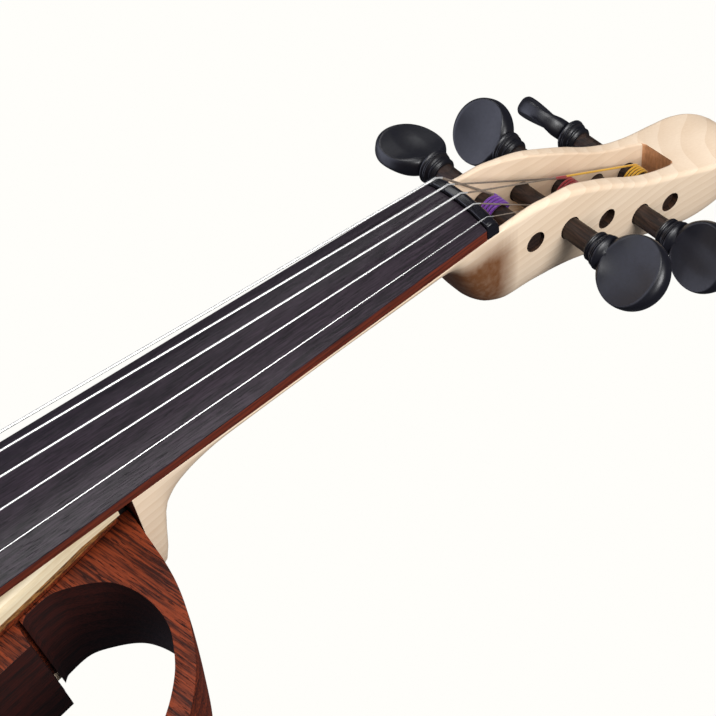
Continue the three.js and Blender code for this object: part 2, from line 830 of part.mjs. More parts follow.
// Nut: flat crest, rounded back, a notch for each string
function nutProfile(y, half) {
  const crest = boardArch(y, half) + STRING_RISE_AT_NUT - NUT_LAND;
  return [
    [0, -NUT_BOTTOM],
    [0, crest],
    [NUT_CREST_LENGTH, crest],
    [NUT_CREST_LENGTH + (NUT_LENGTH - NUT_CREST_LENGTH) / 2, crest - NUT_BACK_DROP / 3],
    [NUT_LENGTH, crest - NUT_BACK_DROP],
    [NUT_LENGTH, -NUT_BOTTOM],
  ];
}

function nutBody() {
  const rings = [];
  for (let i = 0; i <= BOARD_ARCH_STEPS; i++) {
    const y = BOARD_HALF_AT_NUT * ((2 * i) / BOARD_ARCH_STEPS - 1);
    rings.push(nutProfile(y, BOARD_HALF_AT_NUT).map(([x, z]) => [x, y, z]));
  }
  let shape = lofted(rings);
  for (const { points, diameter } of strings) {
    const crossing = points.slice(4, 9);
    shape = shape.subtract(tube(crossing, diameter / 2 + RUNNING / 2, SMALL_SIDES));
  }
  return shape;
}

place("nut", nutBody(), "ebony");

// One cross-section of neck or head: flat top with rounded arrises, full underside
function neckRing(x, half, top, bottom, fullness, round) {
  const ring = [
    [x, -half + round, top],
    [x, half - round, top],
    [x, half - round * ARRIS_SHARE, top - round * ARRIS_SHARE],
  ];
  const depth = top - round - bottom;
  for (let i = 0; i <= UNDERSIDE_STEPS; i++) {
    const angle = (i / UNDERSIDE_STEPS) * Math.PI;
    const across = Math.sign(Math.cos(angle)) * Math.abs(Math.cos(angle)) ** (2 / fullness);
    const down = Math.abs(Math.sin(angle)) ** (2 / fullness);
    ring.push([x, half * across, top - round - depth * down]);
  }
  ring.push([x, -half + round * ARRIS_SHARE, top - round * ARRIS_SHARE]);
  return ring;
}

function neckRings() {
  const rings = [];
  const shaft = (shares, depth) => {
    for (const [along, deep, fullness] of [...shares].reverse()) {
      const x = -along * NECK_LENGTH;
      const top = -boardEdge(x) - GLUE;
      rings.push(neckRing(x, boardHalf(x), top, top - depth * deep, fullness, NECK_EDGE_ROUND));
    }
  };
  shaft(HEEL_SHARES, HEEL_DEPTH);
  shaft(NECK_SHAFT_SHARES, NECK_DEPTH);
  // the chin grows out of the shaft's underside
  const chinHalf = boardHalf(-CHIN_REACH);
  const chinTop = -boardEdge(-CHIN_REACH) - GLUE;
  const chinLow = chinTop - NECK_DEPTH;
  rings.push(neckRing(-CHIN_REACH, chinHalf, chinTop, chinLow, CHIN_FULLNESS, NECK_EDGE_ROUND));
  for (const [along, high, low, wide, fullness] of HEAD_SHARES) {
    const x = along * HEAD_LENGTH;
    const round = x < NUT_LENGTH ? NECK_EDGE_ROUND : HEAD_EDGE_ROUND;
    rings.push(
      neckRing(x, wide * HEAD_HALF, -high * HEAD_DROP, -low * HEAD_DROP, fullness, round),
    );
  }
  return rings;
}

function pegboxCut() {
  const rings = PEGBOX_SHARES.map(([along, wide, floor]) => {
    const x = along * HEAD_LENGTH;
    const half = wide * HEAD_HALF;
    const low = -floor * HEAD_DROP;
    return [
      [x, -half, PEGBOX_MOUTH],
      [x, half, PEGBOX_MOUTH],
      [x, half, low],
      [x, -half, low],
    ];
  });
  return lofted(rings);
}

function pegBore(peg) {
  const near = PEG_SHANK_RADIUS + RUNNING;
  const far = PEG_TIP_RADIUS + RUNNING;
  const reach = handleReach(peg);
  return rod(
    [peg.along, peg.side * (reach - PEG_COLLAR_START), -peg.below],
    [peg.along, peg.side * (reach - PEG_LENGTH - OVERRUN * 2), -peg.below],
    near,
    far,
  );
}

function neckBody() {
  let shape = lofted(neckRings()).subtract(pegboxCut());
  for (const peg of PEGS) {
    shape = shape.subtract(pegBore(peg));
  }
  // the heel's back lies on the frame's front, and the heel ends level with the frame's back
  const heelStop = block(
    [-BODY_FRONT - HEEL_DEPTH, -HEAD_DROP, -FRAME_DEPTH - HEEL_DEPTH],
    [-BODY_FRONT + GLUE, HEAD_DROP, 0],
  );
  shape = shape.subtract(carried(heelStop, body.matrixWorld));
  for (const depth of DOWEL_PLACES) {
    const bore = rod(
      [-BODY_FRONT + DOWEL_IN_HEEL + GLUE, 0, -depth],
      [-BODY_FRONT - OVERRUN, 0, -depth],
      DOWEL_RADIUS + GLUE,
    );
    shape = shape.subtract(carried(bore, body.matrixWorld));
  }
  return shape;
}

place("neck", neckBody(), "maple");

// Pegs
function pegProfile() {
  const ring = (PEG_COLLAR_START - PEG_COLLAR_END) / 4;
  const start = -PEG_COLLAR_START;
  return [
    [0, -PEG_LENGTH],
    [PEG_TIP_RADIUS - PEG_TIP_CHAMFER, -PEG_LENGTH],
    [PEG_TIP_RADIUS, -PEG_LENGTH + PEG_TIP_CHAMFER],
    [PEG_SHANK_RADIUS, start],
    [PEG_COLLAR_RADIUS, start],
    [PEG_COLLAR_RADIUS, start + ring],
    [PEG_SHANK_RADIUS + PEG_TIP_CHAMFER, start + ring],
    [PEG_SHANK_RADIUS + PEG_TIP_CHAMFER, start + 2 * ring],
    [PEG_COLLAR_RADIUS, start + 2 * ring],
    [PEG_FLARE_RADIUS, start + 3 * ring],
    [PEG_FLARE_RADIUS, start + 4 * ring],
    [PEG_WAIST_RADIUS, start + 5 * ring],
    [PEG_WAIST_RADIUS, -HANDLE_RADIUS / 2],
    [0, -HANDLE_RADIUS / 2],
  ];
}

function handleBody() {
  const ball = new THREE.SphereGeometry(HANDLE_RADIUS, ROUND_SIDES, ROUND_SIDES / 2);
  ball.rotateX(Math.PI / 2);
  ball.scale(1, 1, HANDLE_HALF_THICKNESS / HANDLE_RADIUS);
  let shape = solid(ball);
  for (const face of [-1, 1]) {
    const scoop = new THREE.SphereGeometry(HANDLE_SCOOP_RADIUS, ROUND_SIDES, ROUND_SIDES / 2);
    const height = face * (HANDLE_SCOOP_RADIUS + HANDLE_WAIST_HALF);
    shape = shape.subtract(solid(moved(scoop, 0, -HANDLE_SCOOP_SHIFT, height)));
  }
  return shape;
}

const PEG_BLANK = turned(pegProfile()).add(handleBody());

for (const peg of PEGS) {
  const string = strings.find((one) => one.name === peg.name);
  const middle = [peg.along, peg.side * handleReach(peg), -peg.below];
  const matrix = new THREE.Matrix4()
    .makeTranslation(...middle)
    .multiply(new THREE.Matrix4().makeRotationY(peg.handleTurn))
    .multiply(new THREE.Matrix4().makeRotationX(peg.side > 0 ? 0 : Math.PI));
  const radial = (distance) => [
    peg.along + distance * Math.sin(string.last),
    string.endSide,
    -peg.below + distance * Math.cos(string.last),
  ];
  const hole = rod(
    radial(-PEG_SHANK_RADIUS - OVERRUN),
    radial(PEG_SHANK_RADIUS + OVERRUN),
    string.diameter / 2 + STRING_HOLE_CLEARANCE,
  );
  place("peg_" + peg.name, carried(PEG_BLANK, matrix).subtract(hole), "shank");
}

// Centre beam
function bodyPlace(share) {
  return -BODY_FRONT - share * BODY_LENGTH;
}

const beamEdge = [
  [-BODY_FRONT - BEAM_START - GLUE, BEAM_FRONT_HALF],
  ...BEAM_SHARES.map(([along, wide]) => [bodyPlace(along), wide * BEAM_HALF]),
];

function mirrored(points) {
  return points.map(([x, y]) => [x, -y]).reverse();
}

const TAIL_EDGE = -BODY_FRONT - BODY_LENGTH;
const BEAM_BOTTOM = -FRAME_DEPTH;
const SPRUCE_BOTTOM = CORE_RISE + GLUE;
const BEAM_TOP = CORE_RISE + SPRUCE_THICKNESS;

function beamTopBody() {
  // longer in front by what the rounding takes, so that the front end is square
  const before = [[-BODY_FRONT - BEAM_START + SPRUCE_EDGE_ROUND, beamEdge[0][1]]];
  const outline = [...before, ...beamEdge, ...mirrored(beamEdge), ...mirrored(before)];
  const depth = SPRUCE_THICKNESS + SPRUCE_EDGE_ROUND * 2;
  const shape = raised(outline, BEAM_TOP - depth, BEAM_TOP, SPRUCE_EDGE_ROUND);
  const below = block(
    [-BODY_FRONT - BODY_LENGTH - OVERRUN, -LOWER_HALF, BEAM_TOP - depth - OVERRUN],
    [OVERRUN - BODY_FRONT, LOWER_HALF, SPRUCE_BOTTOM],
  );
  const front = block(
    [-BODY_FRONT - BEAM_START, -LOWER_HALF, SPRUCE_BOTTOM - OVERRUN],
    [-BODY_FRONT + SPRUCE_EDGE_ROUND, LOWER_HALF, BEAM_TOP + OVERRUN],
  );
  return shape.subtract(below).subtract(front);
}

const tongue = [
  [-BODY_FRONT - GLUE, TONGUE_HALF],
  [-BODY_FRONT - BEAM_START, TONGUE_HALF],
];

function leadRoute() {
  const foot = bridgeFoot();
  const turn = [foot[0], -LEAD_SIDE, BEAM_TOP - LEAD_DROP];
  const cavity = [
    -BODY_FRONT - BODY_LENGTH + CAVITY_FROM + CAVITY_LENGTH - OVERRUN / 2,
    -CAVITY_HALF_FROM - OVERRUN / 2,
    BEAM_TOP - LEAD_DROP,
  ];
  return { turn, cavity };
}

function leadCut() {
  const { turn, cavity } = leadRoute();
  const bore = LEAD_BORE / 2;
  const down = rod([turn[0], turn[1], BEAM_TOP + OVERRUN], [turn[0], turn[1], turn[2] - bore], bore);
  return down.add(rod(turn, cavity, bore));
}

// The bridge stands on the beam under the strings' turning point
function bridgeFoot() {
  const crest = toBody([-SCALE_LENGTH, 0, BRIDGE_CREST]);
  return [crest[0], 0, BEAM_TOP];
}

const coreOutline = [...tongue, ...beamEdge, ...mirrored(beamEdge), ...mirrored(tongue)];

function coreBody() {
  let shape = raised(coreOutline, BEAM_BOTTOM + BACK_THICKNESS + GLUE, CORE_RISE);
  // the tongue stays below the frame's plane, so a gap shows before the spruce
  shape = shape.subtract(
    block(
      [-BODY_FRONT - BEAM_START, -LOWER_HALF, -GLUE],
      [-BODY_FRONT + OVERRUN, LOWER_HALF, CORE_RISE + OVERRUN],
    ),
  );
  for (const depth of DOWEL_PLACES) {
    shape = shape.subtract(
      rod(
        [-BODY_FRONT + OVERRUN, 0, -depth],
        [-BODY_FRONT - DOWEL_IN_BEAM - GLUE, 0, -depth],
        DOWEL_RADIUS + GLUE,
      ),
    );
  }
  shape = shape.subtract(
    rod(
      [TAIL_EDGE - OVERRUN, 0, -BUTTON_DROP],
      [TAIL_EDGE + BUTTON_SHANK_LENGTH + GLUE, 0, -BUTTON_DROP],
      BUTTON_SHANK_RADIUS + GLUE,
    ),
  );
  return shape.subtract(leadCut());
}

place("beam_core", coreBody(), "core", body);
place("beam_back", raised(coreOutline, BEAM_BOTTOM, BEAM_BOTTOM + BACK_THICKNESS), "maple", body);

DOWEL_PLACES.forEach((depth, i) => {
  const dowel = rod(
    [-BODY_FRONT + DOWEL_IN_HEEL, 0, -depth],
    [-BODY_FRONT - DOWEL_IN_BEAM, 0, -depth],
    DOWEL_RADIUS,
  );
  place("heel_dowel_" + (i + 1), dowel, "maple", body);
});

// Saddle let into the spruce at the tail
const saddleTop = BEAM_TOP + SADDLE_RISE;

function saddleBody() {
  const [crestBack, crestFront] = SADDLE_CREST_SHARES;
  const profile = [
    [TAIL_EDGE, SPRUCE_BOTTOM],
    [TAIL_EDGE + SADDLE_LENGTH, SPRUCE_BOTTOM],
    [TAIL_EDGE + SADDLE_LENGTH, BEAM_TOP],
    [TAIL_EDGE + SADDLE_LENGTH * crestFront, saddleTop],
    [TAIL_EDGE + SADDLE_LENGTH * crestBack, saddleTop],
    [TAIL_EDGE, BEAM_TOP],
  ];
  const rings = [-SADDLE_HALF, SADDLE_HALF].map((y) => profile.map(([x, z]) => [x, y, z]));
  return lofted(rings);
}

place("saddle", saddleBody(), "ebony", body);
const saddleSeat = block(
  [TAIL_EDGE - OVERRUN, -SADDLE_HALF - GLUE, CORE_RISE],
  [TAIL_EDGE + SADDLE_LENGTH + GLUE, SADDLE_HALF + GLUE, saddleTop + OVERRUN],
);
place(
  "beam_top",
  beamTopBody().subtract(saddleSeat).subtract(leadCut()).subtract(pickupSeat()),
  "spruce",
  body,
);

// Frame of one side: front block, band round the bouts, inner rail with its saw kerf, tail block
function frameOutline(side) {
  const outer = [
    ...scaled(side > 0 ? BASS_OUTLINE_SHARES : UPPER_OUTLINE_SHARES, UPPER_HALF),
    ...scaled(WAIST_OUTLINE_SHARES, WAIST_HALF),
    ...scaled(LOWER_OUTLINE_SHARES, LOWER_HALF),
    [TAIL_EDGE, beamEdge.at(-1)[1] + FRAME_TAIL_STEP],
  ];
  const inner = beamEdge
    .map(([x, y]) => [x, y + GLUE])
    .reverse();
  const front = [
    [-BODY_FRONT - BEAM_START, TONGUE_HALF + GLUE],
    [-BODY_FRONT, TONGUE_HALF + GLUE],
  ];
  return [...front, ...smooth(outer, 2), ...inner];
}

function scaled(shares, half) {
  return shares.map(([along, wide]) => [bodyPlace(along), wide * half]);
}

function upperRim(side) {
  return smooth(scaled(side > 0 ? BASS_RIM_SHARES : UPPER_RIM_SHARES, UPPER_HALF), 2);
}

function lowerRim() {
  const points = [...scaled(WAIST_RIM_SHARES, WAIST_HALF), ...scaled(LOWER_RIM_SHARES, LOWER_HALF)];
  return smooth([...points, points[0]], 2).slice(0, -1);
}

function frameBody(side) {
  const flip = (points) => (side > 0 ? points : mirrored(points));
  let shape = raised(flip(frameOutline(side)), BEAM_BOTTOM, 0);
  for (const opening of [upperRim(side), lowerRim()]) {
    shape = shape.subtract(raised(flip(opening), BEAM_BOTTOM - OVERRUN, OVERRUN));
  }
  const kerf = -BODY_FRONT - KERF_PLACE;
  const cutLow = [kerf, TONGUE_HALF, BEAM_BOTTOM - OVERRUN];
  const cutHigh = [kerf + KERF_WIDTH, UPPER_HALF / 2, OVERRUN];
  const kerfCut = block(
    [cutLow[0], side > 0 ? cutLow[1] : -cutHigh[1], cutLow[2]],
    [cutHigh[0], side > 0 ? cutHigh[1] : -cutLow[1], cutHigh[2]],
  );
  return shape.subtract(kerfCut);
}

// Control cavity in the treble block, open at the back
const cavityLow = [
  TAIL_EDGE + CAVITY_FROM,
  -CAVITY_HALF_FROM - CAVITY_WIDTH,
  BEAM_BOTTOM - OVERRUN,
];
const cavityHigh = [cavityLow[0] + CAVITY_LENGTH, -CAVITY_HALF_FROM, -CAVITY_ROOF];
const potPlace = [
  (cavityLow[0] + cavityHigh[0]) / 2,
  (cavityLow[1] + cavityHigh[1]) / 2 - POT_RADIUS / 2,
];
const switchPlace = [potPlace[0], cavityHigh[1] - SWITCH_WIDTH / 2 - RUNNING];
const jackPlace = [cavityLow[0], (cavityLow[1] + cavityHigh[1]) / 2];

function controlCuts() {
  const cavity = block(cavityLow, cavityHigh);
  const lip = block(
    [cavityLow[0] - COVER_LIP, cavityLow[1] - COVER_LIP, BEAM_BOTTOM - OVERRUN],
    [cavityHigh[0] + COVER_LIP, cavityHigh[1] + COVER_LIP, BEAM_BOTTOM + COVER_THICKNESS + GLUE],
  );
  const bush = rod(
    [...potPlace, -CAVITY_ROOF - OVERRUN],
    [...potPlace, OVERRUN],
    POT_BUSH_RADIUS + RUNNING,
  );
  const slot = block(
    [
      switchPlace[0] - (SLIDER_LENGTH + SWITCH_TRAVEL) / 2 - RUNNING,
      switchPlace[1] - SLIDER_WIDTH / 2 - RUNNING,
      -CAVITY_ROOF - OVERRUN,
    ],
    [
      switchPlace[0] + (SLIDER_LENGTH + SWITCH_TRAVEL) / 2 + RUNNING,
      switchPlace[1] + SLIDER_WIDTH / 2 + RUNNING,
      OVERRUN,
    ],
  );
  const socket = rod(
    [TAIL_EDGE - OVERRUN, jackPlace[1], -JACK_DROP],
    [cavityLow[0] + OVERRUN, jackPlace[1], -JACK_DROP],
    JACK_RADIUS + GLUE,
    JACK_RADIUS + GLUE,
    ROUND_SIDES,
  );
  const flange = rod(
    [TAIL_EDGE - OVERRUN, jackPlace[1], -JACK_DROP],
    [jackFace() + JACK_FLANGE, jackPlace[1], -JACK_DROP],
    JACK_FLANGE_RADIUS + GLUE,
    JACK_FLANGE_RADIUS + GLUE,
    ROUND_SIDES,
  );
  return cavity.add(lip).add(bush).add(slot).add(socket).add(flange);
}

// The jack's flange lies in a flat recess of the tail's curved edge
function jackFace() {
  return cavityLow[0] - JACK_LENGTH + JACK_FLANGE;
}

function coverScrewPlaces() {
  const inset = COVER_LIP / 2;
  return [
    [cavityLow[0] - inset, cavityLow[1] - inset],
    [cavityHigh[0] + inset, cavityLow[1] - inset],
    [cavityLow[0] - inset, cavityHigh[1] + inset],
    [cavityHigh[0] + inset, cavityHigh[1] + inset],
  ];
}

function coverScrewBody([x, y]) {
  const head = BEAM_BOTTOM + COVER_THICKNESS / 2;
  return rod([x, y, BEAM_BOTTOM], [x, y, head], COVER_SCREW_HEAD_RADIUS, COVER_SCREW_RADIUS).add(
    rod([x, y, head - GLUE], [x, y, BEAM_BOTTOM + COVER_SCREW_LENGTH], COVER_SCREW_RADIUS),
  );
}

function coverScrewCut([x, y]) {
  const head = BEAM_BOTTOM + COVER_THICKNESS / 2;
  const wide = COVER_SCREW_HEAD_RADIUS + GLUE;
  const narrow = COVER_SCREW_RADIUS + GLUE;
  return rod([x, y, BEAM_BOTTOM - OVERRUN], [x, y, BEAM_BOTTOM], wide)
    .add(rod([x, y, BEAM_BOTTOM - GLUE], [x, y, head + GLUE], wide, narrow))
    .add(rod([x, y, head], [x, y, BEAM_BOTTOM + COVER_SCREW_LENGTH + GLUE], narrow));
}

let trebleFrame = frameBody(-1).subtract(controlCuts()).subtract(leadCut());
let cover = block(
  [cavityLow[0] - COVER_LIP + GLUE, cavityLow[1] - COVER_LIP + GLUE, BEAM_BOTTOM],
  [cavityHigh[0] + COVER_LIP - GLUE, cavityHigh[1] + COVER_LIP - GLUE, BEAM_BOTTOM + COVER_THICKNESS],
);
coverScrewPlaces().forEach((corner, i) => {
  place("cover_screw_" + (i + 1), coverScrewBody(corner), "steel", body);
  trebleFrame = trebleFrame.subtract(coverScrewCut(corner));
  cover = cover.subtract(coverScrewCut(corner));
});
place("frame_treble", trebleFrame, "mahogany", body);
place("frame_bass", frameBody(1), "mahogany", body);
place("cavity_cover", cover, "plastic", body);

// Potentiometer under the roof of the cavity, its shaft up through the frame, the knob on it
function potBody() {
  const roof = -CAVITY_ROOF - GLUE;
  return rod([...potPlace, roof - POT_HEIGHT], [...potPlace, roof], POT_RADIUS)
    .add(rod([...potPlace, roof - GLUE], [...potPlace, -GLUE], POT_BUSH_RADIUS))
    .add(rod([...potPlace, -GLUE * 2], [...potPlace, POT_SHAFT_REACH], POT_SHAFT_RADIUS));
}

function knobBody() {
  const outer = KNOB_RADIUS;
  const profile = [
    [0, 0],
    [outer, 0],
    [outer, KNOB_HEIGHT - KNOB_WALL / 2],
    [outer - KNOB_WALL / 2, KNOB_HEIGHT],
    [0, KNOB_HEIGHT],
  ];
  const points = profile.map(([radius, height]) => new THREE.Vector2(radius, height));
  const geometry = new THREE.LatheGeometry(points, KNOB_SIDES);
  geometry.rotateX(Math.PI / 2);
  let shape = solid(moved(geometry, potPlace[0], potPlace[1], KNOB_LIFT));
  const grooveReach = outer + KNOB_GROOVE_RADIUS / 2;
  for (let i = 0; i < KNOB_GROOVES; i++) {
    const angle = (i / KNOB_GROOVES) * 2 * Math.PI;
    const x = potPlace[0] + grooveReach * Math.cos(angle);
    const y = potPlace[1] + grooveReach * Math.sin(angle);
    shape = shape.subtract(
      rod(
        [x, y, KNOB_LIFT + KNOB_WALL],
        [x, y, KNOB_LIFT + KNOB_HEIGHT + OVERRUN],
        KNOB_GROOVE_RADIUS,
        KNOB_GROOVE_RADIUS,
        KNOB_GROOVE_SIDES,
      ),
    );
  }
  const bore = rod(
    [...potPlace, KNOB_LIFT - OVERRUN],
    [...potPlace, POT_SHAFT_REACH + RUNNING],
    POT_SHAFT_RADIUS + RUNNING,
  );
  return shape.subtract(bore);
}

place("volume_pot", potBody(), "steel", body);
place("volume_knob", knobBody(), "plastic", body);

// Two-way slide switch beside the potentiometer
function switchParts() {
  const [x, y] = switchPlace;
  const roof = -CAVITY_ROOF - GLUE;
  const halfRun = (SLIDER_LENGTH + SWITCH_TRAVEL) / 2 + RUNNING;
  const housing = block(
    [x - SWITCH_LENGTH / 2, y - SWITCH_WIDTH / 2, roof - SWITCH_DEPTH],
    [x + SWITCH_LENGTH / 2, y + SWITCH_WIDTH / 2, roof],
  ).subtract(
    block(
      [x - halfRun, y - SLIDER_WIDTH / 2 - RUNNING, roof - SWITCH_DEPTH / 2],
      [x + halfRun, y + SLIDER_WIDTH / 2 + RUNNING, roof + OVERRUN],
    ),
  );
  const start = x - SWITCH_TRAVEL / 2;
  const slider = block(
    [start - SLIDER_LENGTH / 2, y - SLIDER_WIDTH / 2, roof - SWITCH_DEPTH / 2 + RUNNING],
    [start + SLIDER_LENGTH / 2, y + SLIDER_WIDTH / 2, SLIDER_RISE],
  );
  return { housing, slider };
}

const { housing, slider } = switchParts();
place("switch_housing", housing, "steel", body);
place("switch_slider", slider, "plastic", body);

// Output jack through the tail
function jackBody() {
  const [x, y] = jackPlace;
  const face = jackFace();
  const tubeEnd = x + JACK_FLANGE + GLUE;
  return rod([face, y, -JACK_DROP], [tubeEnd, y, -JACK_DROP], JACK_RADIUS, JACK_RADIUS, ROUND_SIDES)
    .add(
      rod(
        [face, y, -JACK_DROP],
        [face + JACK_FLANGE - GLUE, y, -JACK_DROP],
        JACK_FLANGE_RADIUS,
        JACK_FLANGE_RADIUS,
        ROUND_SIDES,
      ),
    )
    .subtract(
      rod([face - OVERRUN, y, -JACK_DROP], [tubeEnd - JACK_FLANGE, y, -JACK_DROP], JACK_BORE),
    );
}

place("output_jack", jackBody(), "steel", body);

// End button
function buttonBody() {
  const head = TAIL_EDGE - BUTTON_NECK_LENGTH;
  const level = -BUTTON_DROP;
  return rod([TAIL_EDGE + BUTTON_SHANK_LENGTH, 0, level], [TAIL_EDGE, 0, level], BUTTON_SHANK_RADIUS)
    .add(rod([TAIL_EDGE - GLUE, 0, level], [head, 0, level], BUTTON_NECK_RADIUS))
    .add(
      rod(
        [head, 0, level],
        [head - BUTTON_HEAD_LENGTH, 0, level],
        BUTTON_HEAD_RADIUS,
        BUTTON_HEAD_RADIUS - BUTTON_HEAD_LENGTH / 3,
        ROUND_SIDES,
      ),
    )
    .add(rod([TAIL_EDGE, 0, level], [TAIL_EDGE - GLUE * 2, 0, level], BUTTON_SHANK_RADIUS));
}

place("end_button", buttonBody(), "ebony", body);

// Bridge: two feet, waist, crown under the strings
function bridgeBody() {
  const [u] = bridgeFoot();
  const foot = BEAM_TOP + GLUE;
  const crown = STRING_NAMES.map((name, index) => {
    const [, y, z] = toBody(bridgePoint(index));
    const notch = STRING_DIAMETERS[index] * (0.5 - STRING_NOTCH_SHARE);
    return [y, z - notch];
  });
  const top = Math.max(...crown.map(([, z]) => z));
  const height = top - foot;
  const level = (name) => foot + height * BRIDGE_LEVEL_SHARES[name];
  const half = [
    [BRIDGE_HALF_FOOT, foot],
    [BRIDGE_HALF_FOOT, level("toe")],
    [BRIDGE_HALF_FOOT - BRIDGE_FOOT_LENGTH * ANKLE_INSET_SHARE, level("ankle")],
    [BRIDGE_WAIST_HALF, level("waist")],
    [BRIDGE_HALF_CROWN, level("shoulder")],
    [BRIDGE_HALF_CROWN, level("crown")],
  ];
  const arch = [
    [BRIDGE_HALF_FOOT - BRIDGE_FOOT_LENGTH, foot],
    [BRIDGE_HALF_FOOT - BRIDGE_FOOT_LENGTH * ARCH_INSET_SHARE, level("archSide")],
    [0, level("archTop")],
  ];
  const outline = [
    ...half,
    ...crown,
    ...half.map(([y, z]) => [-y, z]).reverse(),
    ...arch.slice(0, 2).map(([y, z]) => [-y, z]),
    ...[...arch].reverse(),
  ];
  const profile = raised(outline, -BRIDGE_FOOT_THICKNESS, BRIDGE_FOOT_THICKNESS);
  const upright = new THREE.Matrix4().set(0, 0, 1, u, 1, 0, 0, 0, 0, 1, 0, 0, 0, 0, 0, 1);
  let shape = carried(profile, upright);
  // both faces lean in from the feet to the crown
  const wedge = (z) => {
    const share = (z - foot) / height;
    const thick = BRIDGE_FOOT_THICKNESS + (BRIDGE_CROWN_THICKNESS - BRIDGE_FOOT_THICKNESS) * share;
    const wide = BRIDGE_HALF_CROWN + OVERRUN;
    return [
      [u - thick / 2, -wide, z],
      [u + thick / 2, -wide, z],
      [u + thick / 2, wide, z],
      [u - thick / 2, wide, z],
    ];
  };
  shape = shape.intersect(lofted([wedge(foot), wedge(top + GLUE)]));
  for (const side of [-1, 1]) {
    const y = side * BRIDGE_WAIST_HALF * EYE_SIDE_SHARE;
    const eye = level("eye");
    shape = shape.subtract(rod([u - OVERRUN, y, eye], [u + OVERRUN, y, eye], BRIDGE_EYE_RADIUS));
  }
  const heart = level("heart");
  shape = shape.subtract(
    rod([u - OVERRUN, 0, heart], [u + OVERRUN, 0, heart], BRIDGE_HEART_RADIUS),
  );
  for (const { points, diameter } of strings) {
    const crossing = points.slice(3, 6).map(toBody);
    shape = shape.subtract(tube(crossing, diameter / 2 + RUNNING / 2, SMALL_SIDES));
  }
  return shape;
}

place("bridge", bridgeBody(), "bridge", body);

// Pickup strip under the bridge's feet, let into the spruce; its lead goes down and back
function pickupBody() {
  const [u] = bridgeFoot();
  return block(
    [u - PICKUP_WIDTH / 2, -PICKUP_LENGTH / 2, BEAM_TOP - PICKUP_THICKNESS],
    [u + PICKUP_WIDTH / 2, PICKUP_LENGTH / 2, BEAM_TOP],
  );
}

function pickupSeat() {
  const [u] = bridgeFoot();
  return block(
    [u - PICKUP_WIDTH / 2 - GLUE, -PICKUP_LENGTH / 2 - GLUE, BEAM_TOP - PICKUP_THICKNESS - GLUE],
    [u + PICKUP_WIDTH / 2 + GLUE, PICKUP_LENGTH / 2 + GLUE, BEAM_TOP + OVERRUN],
  );
}

place("bridge_pickup", pickupBody(), "brass", body);

function leadBody() {
  const { turn, cavity } = leadRoute();
  const start = BEAM_TOP - PICKUP_THICKNESS - GLUE;
  const points = [
    [turn[0], turn[1], start],
    [turn[0], turn[1], turn[2] + LEAD_DIAMETER],
    [turn[0] - LEAD_DIAMETER / 4, turn[1], turn[2] + LEAD_DIAMETER / 4],
    [turn[0] - LEAD_DIAMETER, turn[1] + (cavity[1] - turn[1]) * LEAD_BEND_SHARE, turn[2]],
    cavity,
  ];
  return tube(points, LEAD_DIAMETER / 2, LOOP_SIDES);
}

place("pickup_lead", leadBody(), "nylon", body);

// Tailpiece: wide at the tuners, narrow at the loop, with a fret at its front edge
function tailpieceBody() {
  const outline = TAILPIECE_SHARES.map(([along, wide, narrow]) => [
    -along * TAILPIECE_LENGTH,
    wide * TAILPIECE_HALF_WIDE + narrow * TAILPIECE_HALF_NARROW,
  ]);
  let shape = raised([...outline, ...mirrored(outline)], -TAILPIECE_THICKNESS, 0, EDGE_ROUND);
  const spreadHalf = TAILPIECE_SPREAD / 2 + TUNER_SLOT_WIDTH / 2;
  const fret = block(
    [-TAILPIECE_FRET_LENGTH - EDGE_ROUND, -spreadHalf, -EDGE_ROUND],
    [-EDGE_ROUND, spreadHalf, TAILPIECE_FRET_RISE],
  );
  shape = shape.add(fret);
  STRING_NAMES.forEach((name, index) => {
    const y = stringSide(index, TAILPIECE_SPREAD);
    const half = TUNER_SLOT_WIDTH / 2;
    shape = shape.subtract(
      block(
        [-TUNER_SLOT_BACK, y - half, -TAILPIECE_THICKNESS - OVERRUN],
        [-TUNER_SLOT_FRONT, y + half, OVERRUN],
      ),
    );
    shape = shape.subtract(
      rod(
        [-TUNER_SCREW_PLACE, y, -TAILPIECE_THICKNESS - OVERRUN],
        [-TUNER_SCREW_PLACE, y, OVERRUN],
        SCREW_SHANK_RADIUS + RUNNING,
      ),
    );
  });
  const axle = rod(
    [-TUNER_AXLE_PLACE, -TAILPIECE_HALF_WIDE - OVERRUN, -TUNER_AXLE_DEPTH],
    [-TUNER_AXLE_PLACE, TAILPIECE_HALF_WIDE + OVERRUN, -TUNER_AXLE_DEPTH],
    TUNER_AXLE_RADIUS + GLUE,
  );
  shape = shape.subtract(axle);
  for (const side of [-1, 1]) {
    const y = side * TAIL_LOOP_HALF;
    shape = shape.subtract(
      rod(
        [-TAILPIECE_LENGTH - OVERRUN, y, -TAILPIECE_THICKNESS / 2],
        [-TAILPIECE_LENGTH + LOOP_BORE_DEPTH, y, -TAILPIECE_THICKNESS / 2],
        TAIL_LOOP_RADIUS + GLUE,
      ),
    );
  }
  return shape;
}

place("tailpiece", tailpieceBody(), "plastic", tail);

place(
  "tuner_axle",
  rod(
    [-TUNER_AXLE_PLACE, -TUNER_AXLE_HALF, -TUNER_AXLE_DEPTH],
    [-TUNER_AXLE_PLACE, TUNER_AXLE_HALF, -TUNER_AXLE_DEPTH],
    TUNER_AXLE_RADIUS,
  ),
  "steel",
  tail,
);

